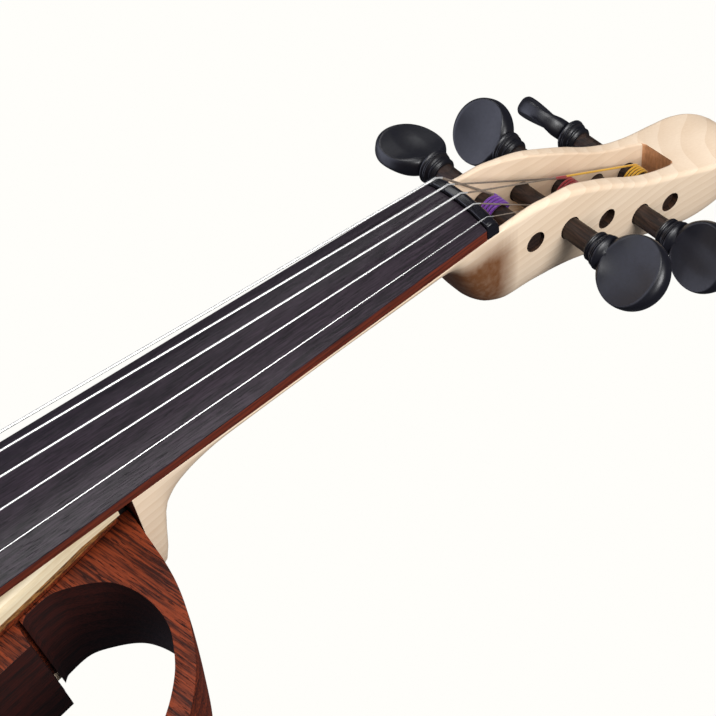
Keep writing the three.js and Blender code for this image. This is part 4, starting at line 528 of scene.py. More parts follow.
@dataclass(frozen=True)
class WoodLook:
    """How one wood looks: its colours, its rings, its fibres and its pores, in millimetres.

    Where the mesh carries the shade attribute, the wood turns into its painted shade colour there.
    """

    name: str
    light: str
    dark: str
    ring_period: float = 4.0
    ring_strength: float = 0.35
    ring_centre: Point = (0.0, 12.0, 60.0)
    ring_turn: Point = (0.0, 0.0, 0.0)
    fibre: Point = (26.0, 0.5, 0.5)
    fibre_strength: float = 0.35
    fibre_turn: Point = (0.0, 0.0, 0.0)
    pore: Point = (5.0, 0.28, 0.28)
    pore_level: float = 0.0
    pore_colour: str = "#2a1a12"
    # colour of the painted shade that the shade attribute calls for; empty for none
    shade_paint: str = ""
    roughness: float = 0.42
    coat: float = 0.0
    shine: float = 0.3
    relief: float = 0.03

    noise_core = (0.3, 0.7)
    ring_stretch = (18.0, 1.0, 1.0)
    ring_scale = 0.314
    patch = (70.0, 14.0, 14.0)
    patch_strength = 0.22
    streak, streak_turn = (2.0, 2.0, 9.0), (0.5, 0.0, 0.6)
    pore_edge = 0.07
    pore_roughness = 0.8

    def rings(self, look: Surface) -> Socket:
        """The year rings, between 0 and 1."""
        inputs = {
            "Vector": look.stretched(self.ring_stretch, self.ring_turn, self.ring_centre),
            "Scale": self.ring_scale / self.ring_period,
            "Distortion": 5.0,
            "Detail": 2.0,
            "Detail Scale": 0.35,
            "Detail Roughness": 0.5,
        }
        kind = {"wave_type": "RINGS", "rings_direction": "X", "wave_profile": "SAW"}
        return add_node(look.tree, "ShaderNodeTexWave", inputs, **kind).outputs["Fac"]

    def with_painted_shade(self, look: Surface, colour: Socket) -> Socket:
        """The colour, turned into streaky painted shade where the mesh's shade attribute says so.
        """
        shade = add_node(look.tree, "ShaderNodeAttribute", attribute_name="end grain")
        streaks = look.noise(look.stretched(self.streak, self.streak_turn), detail=3.0)
        depth = look.ramp(streaks, 0.25, 0.75, 0.88, 1.06)
        amount = look.sum(shade.outputs["Fac"], depth, "MULTIPLY")
        return look.mixed(look.ramp(amount, 0.0, 1.0), colour, linear(self.shade_paint))

    def build(self) -> bpy.types.Material:
        """Makes the material.

        Returns:
            The finished material.
        """
        plain = {"Coat_Weight": self.coat, "Coat_Roughness": 0.25}
        look = Surface(self.name, **plain, Specular_IOR_Level=self.shine)
        wave = self.rings(look)
        fibres = look.noise(look.stretched(self.fibre, self.fibre_turn), detail=3.0, rough=0.6)
        patches = look.noise(look.stretched(self.patch), detail=1.0)
        tone = look.ramp(wave, 0.0, 1.0, 0.5 - self.ring_strength, 0.5 + self.ring_strength)
        grain = look.ramp(fibres, *self.noise_core, -self.fibre_strength, self.fibre_strength)
        cloud = look.ramp(patches, *self.noise_core, -self.patch_strength, self.patch_strength)
        share = look.sum(look.sum(tone, grain), cloud)
        colour = look.mixed(share, linear(self.light), linear(self.dark))
        if self.shade_paint:
            colour = self.with_painted_shade(look, colour)
        rough, height = self.roughness, fibres
        if self.pore_level:
            pores = look.noise(look.stretched(self.pore, self.fibre_turn), detail=1.5, rough=0.55)
            holes = look.ramp(pores, self.pore_level, self.pore_level + self.pore_edge)
            colour = look.mixed(holes, colour, linear(self.pore_colour))
            height = look.sum(fibres, holes, "SUBTRACT")
            look.feed("Roughness", look.ramp(holes, 0.0, 1.0, rough, self.pore_roughness))
        else:
            even = look.ramp(fibres, *self.noise_core, rough - 0.06, rough + 0.08)
            look.feed("Roughness", even)
        look.feed("Base Color", colour)
        look.relief(height, self.relief)
        return look.material


@dataclass(frozen=True)
class PlainLook:
    """A material without figure: paint, plastic, metal, cork or silk."""

    name: str
    colour: str
    second: str
    roughness: float
    metallic: float = 0.0
    grain: Point = (1.0, 1.0, 1.0)
    contrast: float = 0.5
    relief: float = 0.01
    coat: float = 0.0
    sheen: float = 0.0

    def build(self) -> bpy.types.Material:
        """Makes the material.

        Returns:
            The finished material.
        """
        look = Surface(
            self.name,
            Metallic=self.metallic,
            Coat_Weight=self.coat,
            Coat_Roughness=0.18,
            Sheen_Weight=self.sheen,
        )
        speck = look.noise(look.stretched(self.grain), detail=3.0, rough=0.6)
        share = look.ramp(speck, 0.5 - self.contrast / 2, 0.5 + self.contrast / 2)
        look.feed("Base Color", look.mixed(share, linear(self.colour), linear(self.second)))
        rough = look.ramp(speck, 0.3, 0.7, self.roughness * 0.85, self.roughness * 1.15)
        look.feed("Roughness", rough)
        look.relief(speck, self.relief)
        return look.material


LOOKS = (
    # maple, whose shade colour is the painted shade under the chin
    WoodLook(
        "maple", "#e7d3bb", "#d6bda1", ring_period=3.6, ring_strength=0.26,
        fibre_strength=0.14, roughness=0.5, coat=0.05, ring_turn=(0.0, 0.05, 0.03),
        shade_paint="#704729",
    ),
    WoodLook(
        "maple_inside", "#dec9b1", "#ceb498", ring_period=4.0, ring_strength=0.2,
        fibre_strength=0.1, roughness=0.65,
    ),
    # dark painted shade for the walls of the peg bores
    WoodLook(
        "bore_wall_shade", "#3f2718", "#1c100a", ring_period=1.6, roughness=0.8,
        fibre=(0.5, 6.0, 0.5),
    ),
    WoodLook(
        "end_grain", "#c49068", "#9a6c48", ring_period=5.0, ring_strength=0.1, roughness=0.75,
        fibre=(0.9, 0.9, 3.0), fibre_strength=0.3,
    ),
    WoodLook(
        "board_top", "#30252f", "#0d080e", ring_period=2.6, ring_strength=0.1,
        fibre=(36.0, 0.26, 0.26), fibre_strength=0.85, pore=(6.0, 0.24, 0.24), pore_level=0.6,
        pore_colour="#120e12", roughness=0.46, coat=0.03, relief=0.02,
    ),
    WoodLook(
        "board_flank", "#6b2c1a", "#41170d", ring_period=1.8, fibre_strength=0.4,
        pore_level=0.64, pore_colour="#2e100a", roughness=0.5,
    ),
    WoodLook(
        "spruce", "#ecdfc2", "#d2bd98", ring_period=2.2, ring_strength=0.24,
        ring_centre=(0.0, 0.0, 220.0), fibre_strength=0.2, roughness=0.5, coat=0.05,
    ),
    WoodLook(
        "core", "#9a6a38", "#3f2210", ring_period=1.4, ring_strength=0.3,
        fibre=(9.0, 0.5, 0.5), fibre_strength=0.7, pore_level=0.58, pore_colour="#3a1c0c",
        roughness=0.6,
    ),
    WoodLook(
        "mahogany", "#7a3217", "#2c0d05", ring_period=7.0, ring_strength=0.25,
        ring_centre=(0.0, 30.0, 40.0), ring_turn=(0.0, 0.0, 1.35), fibre=(0.55, 14.0, 0.55),
        fibre_turn=(0.0, 0.0, -0.22), fibre_strength=0.75, pore=(0.3, 4.0, 0.3), pore_level=0.59,
        pore_colour="#2a0e08", roughness=0.5, shine=0.2, relief=0.05,
    ),
    # dark maroon painted shade for the inner walls of the frame's openings
    WoodLook(
        "opening_wall_shade", "#34100a", "#160503", ring_period=5.0, ring_strength=0.3,
        fibre=(14.0, 0.6, 0.6), fibre_strength=0.5, roughness=0.6,
    ),
    # nearly black painted shadow for the saw kerf and the core's front end
    PlainLook("deep_shadow", "#120704", "#080302", 0.9, grain=(0.8, 0.8, 0.8)),
    PlainLook("peg_black", "#14141b", "#0c0c12", 0.36, grain=(1.2, 1.2, 1.2), relief=0.002),
    WoodLook(
        "bridge_maple", "#d9b47c", "#a67c45", ring_period=1.4, fibre=(0.6, 9.0, 0.6),
        fibre_strength=0.5, roughness=0.55,
    ),
    WoodLook(
        "ebony", "#15141a", "#08080c", ring_period=2.0, ring_strength=0.2,
        fibre=(0.5, 16.0, 0.5), fibre_strength=0.5, roughness=0.27, coat=0.35, relief=0.006,
    ),
    WoodLook(
        "peg_shank", "#37261e", "#150d0a", ring_period=1.6, fibre=(0.5, 12.0, 0.5),
        fibre_strength=0.6, pore=(0.25, 3.0, 0.25), pore_level=0.62, roughness=0.5,
    ),
    PlainLook("black_plastic", "#1c1c1f", "#101013", 0.4, grain=(0.25, 0.25, 0.25)),
    PlainLook("cork", "#b98f5f", "#7c5635", 0.9, grain=(0.9, 0.9, 0.9), relief=0.25),
    PlainLook("nylon", "#242427", "#17171a", 0.35, grain=(0.6, 0.6, 0.6)),
    PlainLook("steel", "#c6c8cc", "#a7aab0", 0.28, metallic=1.0, grain=(6.0, 0.15, 0.15)),
    PlainLook("string_wound", "#f4f4f2", "#d7d7d5", 0.3, metallic=0.7, grain=(0.16, 4.0, 4.0)),
    # a darker copy of the strings for behind the nut: painted shade
    PlainLook("string_behind_shade", "#9a8d80", "#6d6157", 0.4, metallic=0.4, grain=(0.16, 4.0, 4.0)),
    PlainLook("string_plain", "#f2f2f0", "#dcdcda", 0.25, metallic=0.8, grain=(3.0, 0.2, 0.2)),
    PlainLook("silk_purple", "#7b2fb0", "#45166e", 0.55, grain=(0.2, 0.5, 0.2), sheen=0.4),
    PlainLook("silk_red", "#b8242b", "#661016", 0.55, grain=(0.2, 0.5, 0.2), sheen=0.4),
    PlainLook("silk_yellow", "#e8b41c", "#b07c08", 0.55, grain=(0.2, 0.5, 0.2), sheen=0.4),
    PlainLook("silk_green", "#58b583", "#dfe9df", 0.55, grain=(0.3, 0.6, 0.3), sheen=0.4),
    PlainLook("silk_white", "#e9e6dc", "#bdb8a6", 0.5, grain=(0.2, 0.4, 0.2), sheen=0.3),
    PlainLook("brass", "#c29a4c", "#9c7a37", 0.3, metallic=1.0, grain=(0.3, 3.0, 0.3)),
)

MATERIALS = {look.name: look.build() for look in LOOKS}


# Shapes


@dataclass
class Skin:
    """Points in millimetres and faces, before they become a mesh."""

    points: list[Point] = field(default_factory=list)
    faces: list[tuple[int, ...]] = field(default_factory=list)
    slots: list[int] = field(default_factory=list)

    def painted(self, slot: int) -> "Skin":
        """Gives all faces one material slot."""
        self.slots = [slot] * len(self.faces)
        return self


def around(sides: int) -> list[tuple[float, float]]:
    """Cosine and sine of even steps round a circle."""
    angles = (2 * math.pi * k / sides for k in range(sides))
    return [(math.cos(angle), math.sin(angle)) for angle in angles]


def quarter(steps: int, first: int = 0) -> list[float]:
    """Angles of even steps up to a right angle."""
    return [math.pi / 2 * k / steps for k in range(first, steps + 1)]


def ring_at(middle: Vector, side: Vector, up: Vector, radius: float, sides: int) -> list[Point]:
    """A circle round a point, across two directions."""
    return [tuple(middle + side * radius * c + up * radius * s) for c, s in around(sides)]


def loft(
    rings: Sequence[Sequence[Point]],
    slot: Callable[[int, int], int] = lambda ring, side: 0,
    caps: bool = True,
) -> Skin:
    """Joins rings of equally many points into one closed skin.

    Args:
        rings: the rings in order.
        slot: the material slot of the face after a ring and a side.
        caps: whether the first and last ring are closed by a flat face.

    Returns:
        The skin.
    """
    count, last = len(rings[0]), len(rings) - 1
    skin = Skin([tuple(point) for ring in rings for point in ring])
    for i in range(last):
        near, far = i * count, (i + 1) * count
        for k in range(count):
            after = (k + 1) % count
            skin.faces.append((near + k, far + k, far + after, near + after))
            skin.slots.append(slot(i, k))
    if caps:
        skin.faces.append(tuple(range(count)))
        skin.faces.append(tuple(last * count + k for k in reversed(range(count))))
        skin.slots.extend((slot(0, 0), slot(last, 0)))
    return skin


def rectangle(left: float, right: float, low: float, high: float) -> list[Row]:
    """The corners of a plan with square sides."""
    return [(left, low), (right, low), (right, high), (left, high)]


def raised(outline: Sequence[Row], bottom: float, top: float, slot: int = 0) -> Skin:
    """A plan raised from one height to another."""
    return loft([[(x, y, z) for x, y in outline] for z in (bottom, top)]).painted(slot)


def turned(profile: Sequence[Row], sides: int, slots: Sequence[int] = (0,)) -> Skin:
    """A profile of height and radius turned about the Y axis.

    Args:
        profile: pairs of height and radius, from one end to the other.
        sides: steps around the axis.
        slots: the material slot after each profile point; the last one goes on.

    Returns:
        The skin, closed by flat ends.
    """
    circle = around(sides)
    rings = [[(radius * s, height, radius * c) for c, s in circle] for height, radius in profile]
    return loft(rings, lambda ring, side: slots[min(ring, len(slots) - 1)])


def rod(start: Point, end: Point, radius: float, far: float | None = None, sides: int = 32) -> Skin:
    """A round rod between two points, with its own radius at each end."""
    a, b = Vector(start), Vector(end)
    along = (b - a).normalized()
    side = along.orthogonal().normalized()
    ends = ((a, radius), (b, radius if far is None else far))
    return loft([ring_at(middle, side, along.cross(side), wide, sides) for middle, wide in ends])


def tube(
    points: Sequence[Point],
    radius: Callable[[int], float],
    sides: int = 10,
    slot: Callable[[int, int], int] = lambda ring, side: 0,
) -> Skin:
    """A tube that follows points without twisting.

    Args:
        points: the way of its middle line.
        radius: its radius at each point.
        sides: steps around it.
        slot: the material slot after each point.

    Returns:
        The skin.
    """
    path = [Vector(point) for point in points]
    side, rings = Vector((0, 1, 0)), []
    for i, point in enumerate(path):
        ahead = (path[min(i + 1, len(path) - 1)] - path[max(i - 1, 0)]).normalized()
        side = (side - ahead * side.dot(ahead)).normalized()
        rings.append(ring_at(point, side, ahead.cross(side), radius(i), sides))
    return loft(rings, slot)


@contextmanager
def edited(mesh: bpy.types.Mesh) -> Iterator[bmesh.types.BMesh]:
    """Opens a mesh for editing and writes it back."""
    work = bmesh.new()
    work.from_mesh(mesh)
    yield work
    work.to_mesh(mesh)
    work.free()


def bisected(work: bmesh.types.BMesh, place: Vector, way: Vector, clear: bool = False) -> None:
    """Cuts an open mesh along a plane, and clears what lies beyond it if asked."""
    parts = [*work.verts, *work.edges, *work.faces]
    bmesh.ops.bisect_plane(work, geom=parts, plane_co=place, plane_no=way, clear_outer=clear)


class Solid:
    """A closed piece in the making, in the millimetres of its own frame."""

    same_point = 1e-4

    def __init__(self, name: str, skin: Skin, *looks: str) -> None:
        """Makes the mesh.

        Args:
            name: the piece's name.
            skin: its points and faces.
            *looks: the names of its materials, by slot.
        """
        mesh = bpy.data.meshes.new(name)
        mesh.from_pydata(skin.points, [], skin.faces)
        for look in looks:
            mesh.materials.append(MATERIALS[look])
        mesh.polygons.foreach_set("material_index", skin.slots)
        with edited(mesh) as work:
            bmesh.ops.remove_doubles(work, verts=work.verts, dist=self.same_point)
            bmesh.ops.recalc_face_normals(work, faces=work.faces)
        self.item = bpy.data.objects.new(name, mesh)
        bpy.context.scene.collection.objects.link(self.item)

    @property
    def mesh(self) -> bpy.types.Mesh:
        """The piece's mesh as it stands."""
        return self.item.data

    def apply(self) -> "Solid":
        """Makes the mesh of what the modifiers show, and removes them."""
        depsgraph = bpy.context.evaluated_depsgraph_get()
        mesh = bpy.data.meshes.new_from_object(self.item.evaluated_get(depsgraph))
        old = self.mesh
        self.item.modifiers.clear()
        self.item.data = mesh
        mesh.name = self.item.name
        bpy.data.meshes.remove(old)
        return self

    def _combine(self, operation: str, others: Sequence["Solid"]) -> "Solid":
        """Joins or cuts with other solids, which are used up."""
        for other in others:
            step = self.item.modifiers.new(operation, "BOOLEAN")
            step.operation = operation
            step.solver = "EXACT"
            step.object = other.item
        self.apply()
        for other in others:
            mesh = other.mesh
            bpy.data.objects.remove(other.item)
            bpy.data.meshes.remove(mesh)
        return self

    def cut(self, *others: "Solid") -> "Solid":
        """Takes the space of other solids away."""
        return self._combine("DIFFERENCE", others)

    def join(self, *others: "Solid") -> "Solid":
        """Joins other solids to this one."""
        return self._combine("UNION", others)

    def trim(self, place: Vector, way: Vector, slot: int) -> "Solid":
        """Takes away what lies beyond a plane and closes the cut.

        Args:
            place: a point of the plane.
            way: the side that goes.
            slot: the material slot of the closing face.

        Returns:
            This solid.
        """
        with edited(self.mesh) as work:
            bisected(work, place, way, clear=True)
            rim = [edge for edge in work.edges if edge.is_boundary]
            for face in bmesh.ops.holes_fill(work, edges=rim)["faces"]:
                face.material_index = slot
        return self

    def soften(self, width: float, segments: int = 2, angle: float = 40.0) -> "Solid":
        """Rounds the edges that are sharper than an angle.

        Args:
            width: how far the round reaches from the edge.
            segments: steps across it.
            angle: the least angle of an edge, in degrees.

        Returns:
            This solid.
        """
        step = self.item.modifiers.new("soft edges", "BEVEL")
        step.width = width
        step.segments = segments
        step.limit_method = "ANGLE"
        step.angle_limit = math.radians(angle)
        return self.apply()

    def settle(
        self, place: Matrix, body: str, slot: str, *nodes: str, sharp: float = 38.0
    ) -> bpy.types.Object:
        """Turns the piece into the row frame and gives it to its body.

        Args:
            place: the frame that it was made in.
            body: the body that it rides on.
            slot: the record's material slot; not used.
            *nodes: the nodes that it stands for.
            sharp: the least angle of an edge that stays crisp, in degrees.

        Returns:
            The finished object.
        """
        self.mesh.transform(place)
        self.mesh.shade_smooth()
        self.mesh.set_sharp_from_angle(angle=math.radians(sharp))
        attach(self.item, body)
        if nodes:
            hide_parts(*nodes)
        log.info("%s: %d faces", self.item.name, len(self.mesh.polygons))
        return self.item


def copied(node: str, *looks: str) -> Solid:
    """A copy of a node with merged points and merged flat faces, in millimetres.

    Args:
        node: the node's name.
        *looks: its materials, by slot.

    Returns:
        The copy.
    """
    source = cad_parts[node].data
    skin = Skin([tuple(vertex.co / MM) for vertex in source.vertices])
    skin.faces = [tuple(polygon.vertices) for polygon in source.polygons]
    solid = Solid(f"{node}_dressed", skin.painted(0), *looks)
    flat = math.radians(1.0)
    with edited(solid.mesh) as work:
        bmesh.ops.dissolve_limit(work, angle_limit=flat, verts=work.verts, edges=work.edges)
    return solid


def dressed(node: str, look: str, width: float, body: str = "root") -> bpy.types.Object:
    """A copy of a node with softened edges.

    Args:
        node: the node's name.
        look: its material.
        width: how far the rounds reach, in millimetres; 0 for none.
        body: the body that it rides on.

    Returns:
        The finished object.
    """
    solid = copied(node, look)
    if width:
        solid.soften(width, 2, 35.0)
    return solid.settle(Matrix.Scale(MM, 4), body, look, node)


# Sub-assemblies


class Neck:
    """The maple neck: heel, shaft, head and pegbox in one piece."""

    arris = 1.8
    shaft_arris = 0.3
    arris_growth = 8.0
    heel_end = -131.25
    heel_face = -128.0
    sides = 40
    looks = ("maple", "maple_inside", "end_grain", "bore_wall_shade", "board_flank")
    box_rim = ((0.75, 14.0), (0.75, 0.0), (0.3, -0.12), (0.08, -0.4), (0.0, -0.85))
    box_foot = ((-0.1, 2.2), (-0.6, 0.7), (-2.0, 0.0))
    bore_radii = (4.1, 3.6)
    shade_tail, shade_head, shade_down = (-24.0, -18.0), (12.0, 4.0), (-7.5, -14.5)
    shade_power = 0.8

    def __init__(self) -> None:
        """Reads the tables."""
        self.table = Table(NECK_ROWS)
        self.box = Table(PEGBOX_ROWS)

    def ring(self, x: float) -> list[Point]:
        """One cross-section, from the treble side of its flat top round the underside."""
        half, top, bottom, full = self.table.at(x)
        start = BOARD_SIZES.nut_length
        blend = held(x, start, start + self.arris_growth)
        arris = self.shaft_arris + (self.arris - self.shaft_arris) * blend
        arc = [
            (half - arris + arris * math.sin(a), top - arris + arris * math.cos(a))
            for a in quarter(5)
        ]
        ring = [(x, -y, z) for y, z in arc[::-1]] + [(x, y, z) for y, z in arc]
        depth = top - arris - bottom
        for i in range(1, self.sides):
            angle = math.pi * i / self.sides
            across = math.copysign(abs(math.cos(angle)) ** (2 / full), math.cos(angle))
            down = math.sin(angle) ** (2 / full)
            ring.append((x, half * across, top - arris - depth * down))
        return ring

    def box_ring(self, x: float) -> list[Point]:
        """One cross-section of the pegbox opening, flared at its rim."""
        half, floor = self.box.at(x)
        top = self.table.at(x)[1]
        side = [(half + out, top + up) for out, up in self.box_rim]
        side += [(half + out, floor + up) for out, up in self.box_foot]
        return [(x, -y, z) for y, z in side] + [(x, y, z) for y, z in side[::-1]]

    def build(self) -> bpy.types.Object:
        """Makes the neck.

        Returns:
            The finished object.
        """
        rings = [self.ring(x) for x in self.table.places(1.4)]
        solid = Solid("neck_maple", loft(rings), *self.looks)
        box_rings = [self.box_ring(x) for x in self.box.places(1.1)]
        last = len(box_rings) - 2
        box = loft(box_rings, lambda ring, side: 2 if ring >= last else 1)
        cutters = [Solid("pegbox_cutter", box, *self.looks)]
        for peg in PEGS:
            outer = peg.side * (peg.reach - SHANK.start)
            inner = peg.side * (peg.reach - SHANK.bore_end)
            ends = [(peg.along, y, -peg.below) for y in (outer, inner)]
            # slot 3 paints the bore walls with dark shade
            bore = rod(*ends, *self.bore_radii, 40).painted(3)
            cutters.append(Solid("bore_cutter", bore, *self.looks))
        solid.cut(*cutters)
        back = BOARD_TO_BODY.inverted()
        # the face that closes the heel takes slot 4, the flank's dark red-brown, as painted shade
        solid.trim(back @ Vector((self.heel_end, 0, 0)), back.to_3x3() @ Vector((-1, 0, 0)), 4)
        self._paint_shade(solid.mesh)
        return solid.settle(BOARD, "root", "maple", "neck", sharp=50)

    def _paint_shade(self, mesh: bpy.types.Mesh) -> None:
        """Paints shade under the chin, and paints the heel's glued face dark red-brown as shade."""
        # painted shade under the chin, on the low faces near the nut
        grain = mesh.attributes.new("end grain", "FLOAT", "POINT")
        for vertex, value in zip(mesh.vertices, grain.data):
            x, _, z = vertex.co
            along = held(x, *self.shade_head) * held(x, *self.shade_tail)
            value.value = (along * held(z, *self.shade_down)) ** self.shade_power
        # painted shade: the heel's back faces take slot 4, the flank's dark red-brown
        for face in mesh.polygons:
            if face.center.x < self.heel_face and face.normal.x < -0.9:
                face.material_index = 4


class Fingerboard:
    """The arched board with its dark top and red-brown flanks."""

    arch_steps = 28
    length_steps = 40
    arris = 0.35
    arris_steps = ((0.0, 0.4), (0.1, 0.12))
    end_steps = ((0.0, 0.5), (0.25, 0.15), (0.8, 0.0))
    end_lengths = 1.05

    def ring(self, x: float, shrink: float) -> list[Point]:
        """One cross-section; its arrises are rounded and its ends shrink a little."""
        base = BOARD_SIZES.half(x)
        half = base - shrink
        ring = []
        for i in range(self.arch_steps + 1):
            y = (half - self.arris) * (2 * i / self.arch_steps - 1)
            ring.append((x, y, BOARD_SIZES.rise(y, base) - shrink))
        top = ring[-1][2]
        side = [(x, half - inset, top - drop) for inset, drop in self.arris_steps[::-1]]
        side.append((x, half, -BOARD_SIZES.edge(x)))
        return ring + side + [(x, -y, z) for x, y, z in side[::-1]]

    def slot(self, ring: int, side: int) -> int:
        """The slot of a face: the top's or the flank's."""
        return 0 if side <= self.arch_steps or side >= self.arch_steps + 5 else 1

    def build(self) -> bpy.types.Object:
        """Makes the board.

        Returns:
            The finished object.
        """
        length, steps = BOARD_SIZES.length, self.length_steps
        first, span = -length + self.end_steps[-1][0], length - self.end_lengths
        rings = [self.ring(-length + x, shrink) for x, shrink in self.end_steps]
        for i in range(1, steps + 1):
            rings.append(self.ring(first + span * i / steps, 0.0))
        solid = Solid("fingerboard_wood", loft(rings, self.slot), "board_top", "board_flank")
        return solid.settle(BOARD, "root", "board_wood", "fingerboard", sharp=30)


class Nut:
    """The black nut with its rounded back and five notches."""

    steps = 60
    notch_steps = 6
    notch_room = 0.15
    notch_edge = 0.16
    end_round = 0.6
    front_bevel = 0.2
    flat = 1.9
    back_drop = 3.2

    def crest(self, y: float) -> float:
        """Height of the crest, lower in each notch."""
        level = BOARD_SIZES.rise(y, BOARD_SIZES.half_at_nut) + BOARD_SIZES.nut_rise
        for string in STRINGS:
            reach = string.diameter / 2 + self.notch_room
            away = abs(y - string.nut[1])
            if away < reach:
                level -= math.sqrt(reach**2 - away**2)
        return level

    def ring(self, y: float) -> list[Point]:
        """One cross-section: square in front, rounded behind."""
        inset = max(0.0, abs(y) - (BOARD_SIZES.half_at_nut - self.end_round))
        crest = self.crest(y) - inset**2
        back, bottom, flat = BOARD_SIZES.nut_length, -BOARD_SIZES.nut_bottom, self.flat
        profile = [(0, bottom), (0, crest - self.front_bevel), (self.front_bevel, crest)]
        profile.append((flat, crest))
        for angle in quarter(8, 1):
            x = flat + (back - flat) * math.sin(angle)
            profile.append((x, crest - self.back_drop * (1 - math.cos(angle))))
        profile.append((back, bottom))
        return [(x, y, z) for x, z in profile]

    def build(self) -> bpy.types.Object:
        """Makes the nut.

        Returns:
            The finished object.
        """
        half = BOARD_SIZES.half_at_nut
        ys = {half * (2 * i / self.steps - 1) for i in range(self.steps + 1)}
        for string in STRINGS:
            for k in range(-self.notch_steps, self.notch_steps + 1):
                reach = string.diameter / 2 + self.notch_edge
                ys.add(string.nut[1] + reach * k / self.notch_steps)
        solid = Solid("nut_ebony", loft([self.ring(y) for y in sorted(ys)]), "ebony")
        return solid.settle(BOARD, "root", "ebony", "nut", sharp=42)


class Peg:
    """A turned peg: scooped head, ringed collar and bare shank."""

    radius = 11.9
    lens = 5.1
    fullness = 3.0
    waist = 2.1
    scoop = 27.0
    scoop_shift = 1.2
    saddle = 2.3
    saddle_place = -2.0
    far_curve = 78.0
    near_curve = 30.0
    ridge = 0.35
    profile = (
        (9.2, 3.3), (9.9, 3.6), (10.5, 4.6), (11.1, 5.7), (11.6, 6.15), (12.0, 6.15), (12.3, 5.75),
        (12.5, 5.6), (12.7, 5.85), (12.9, 5.85), (13.1, 5.5), (13.3, 5.75), (13.5, 5.7),
        (13.75, 5.0), (14.2, 4.55), (14.7, 4.6), (14.9, 4.95), (15.15, 5.15), (15.35, 5.05),
        (15.5, 4.7), (15.7, 5.0), (15.95, 5.15), (16.2, 5.0), (16.4, 4.6), (16.9, 4.35),
        (17.05, 3.8), (17.2, 3.795), (30.0, 3.63), (45.0, 3.44), (56.0, 3.3),
    )
    collar_points = 25
    neck = ((-9.6, 3.35), (-8.8, 3.0), (-7.4, 1.6))
    shank_ends = {StringName.C: 13.2, StringName.G: 11.2, StringName.D: 11.8}
    chamfer = 0.5
    end_radii = (3.28, 2.9)
    sides, spokes, circles = 56, 96, 40
    hole_reach = 9.0
    hole_room = 0.45
    looks = ("peg_black", "peg_shank")

    def __init__(self, sizes: PegSizes, string: StringSizes) -> None:
        """Takes the peg's place and its string.

        Args:
            sizes: the peg's place and turn.
            string: the string whose hole goes through it.
        """
        self.sizes = sizes
        self.string = string

    def depth(self, across: float, along: float) -> float:
        """Half of the handle's thickness at a place on its disc."""
        reach = math.hypot(across, along) / self.radius
        inside = max(1.0 - reach**self.fullness, 0.0)
        lens = self.lens * inside ** (1 / self.fullness)
        away = across**2 + (along + self.scoop_shift) ** 2
        scoop = self.waist + self.scoop - math.sqrt(max(self.scoop**2 - away, 0.0))
        beyond = along - self.saddle_place
        saddle = self.saddle + beyond**2 / (self.far_curve if beyond > 0 else self.near_curve)
        return max(self._eased(lens, self._eased(scoop, saddle)), 0.0)

    def _eased(self, first: float, second: float) -> float:
        """The lesser of two values, with a soft ridge where they meet."""
        gap = max(self.ridge - abs(first - second), 0.0)
        return min(first, second) - gap**2 / (4 * self.ridge)

    def handle(self) -> Skin:
        """The scooped disc; its faces look along Z and its far end along +Y."""
        rings = []
        shares = [math.sin(angle) for angle in quarter(self.circles)]
        for face, steps in ((1, shares), (-1, shares[-2::-1])):
            for share in steps:
                wide = self.radius * share
                plan = [(wide * c, wide * s) for c, s in around(self.spokes)]
                rings.append([(x, y, face * self.depth(x, y)) for x, y in plan])
        return loft(rings, caps=False)

    def spindle(self) -> Skin:
        """The collar and the shank."""
        past = self.shank_ends.get(self.sizes.name, 0.0)
        end = max(self.sizes.reach + past, self.profile[-1][0] + self.chamfer)
        tip = zip((end - self.chamfer, end), self.end_radii)
        profile = [(-height, radius) for height, radius in (*self.profile, *tip)]
        return turned(profile, self.sides, [0] * self.collar_points + [1])

    def build(self) -> bpy.types.Object:
        """Makes the peg.

        Returns:
            The finished object.
        """
        name, string = self.sizes.name.value, self.string
        solid = Solid(f"peg_{name}_turned", self.spindle(), *self.looks)
        neck = Solid("peg_neck", turned(self.neck, self.sides), *self.looks)
        solid.join(neck, Solid("peg_handle", self.handle(), *self.looks))
        solid.mesh.transform(self.sizes.matrix)
        ends = [
            self.sizes.round_shank(reach, string.last, string.end_side)
            for reach in (-self.hole_reach, self.hole_reach)
        ]
        hole = rod(*ends, string.diameter / 2 + self.hole_room, sides=16).painted(1)
        solid.cut(Solid("string_hole", hole, *self.looks))
        return solid.settle(BOARD, self.sizes.body, "ebony", f"peg_{name}", sharp=42)


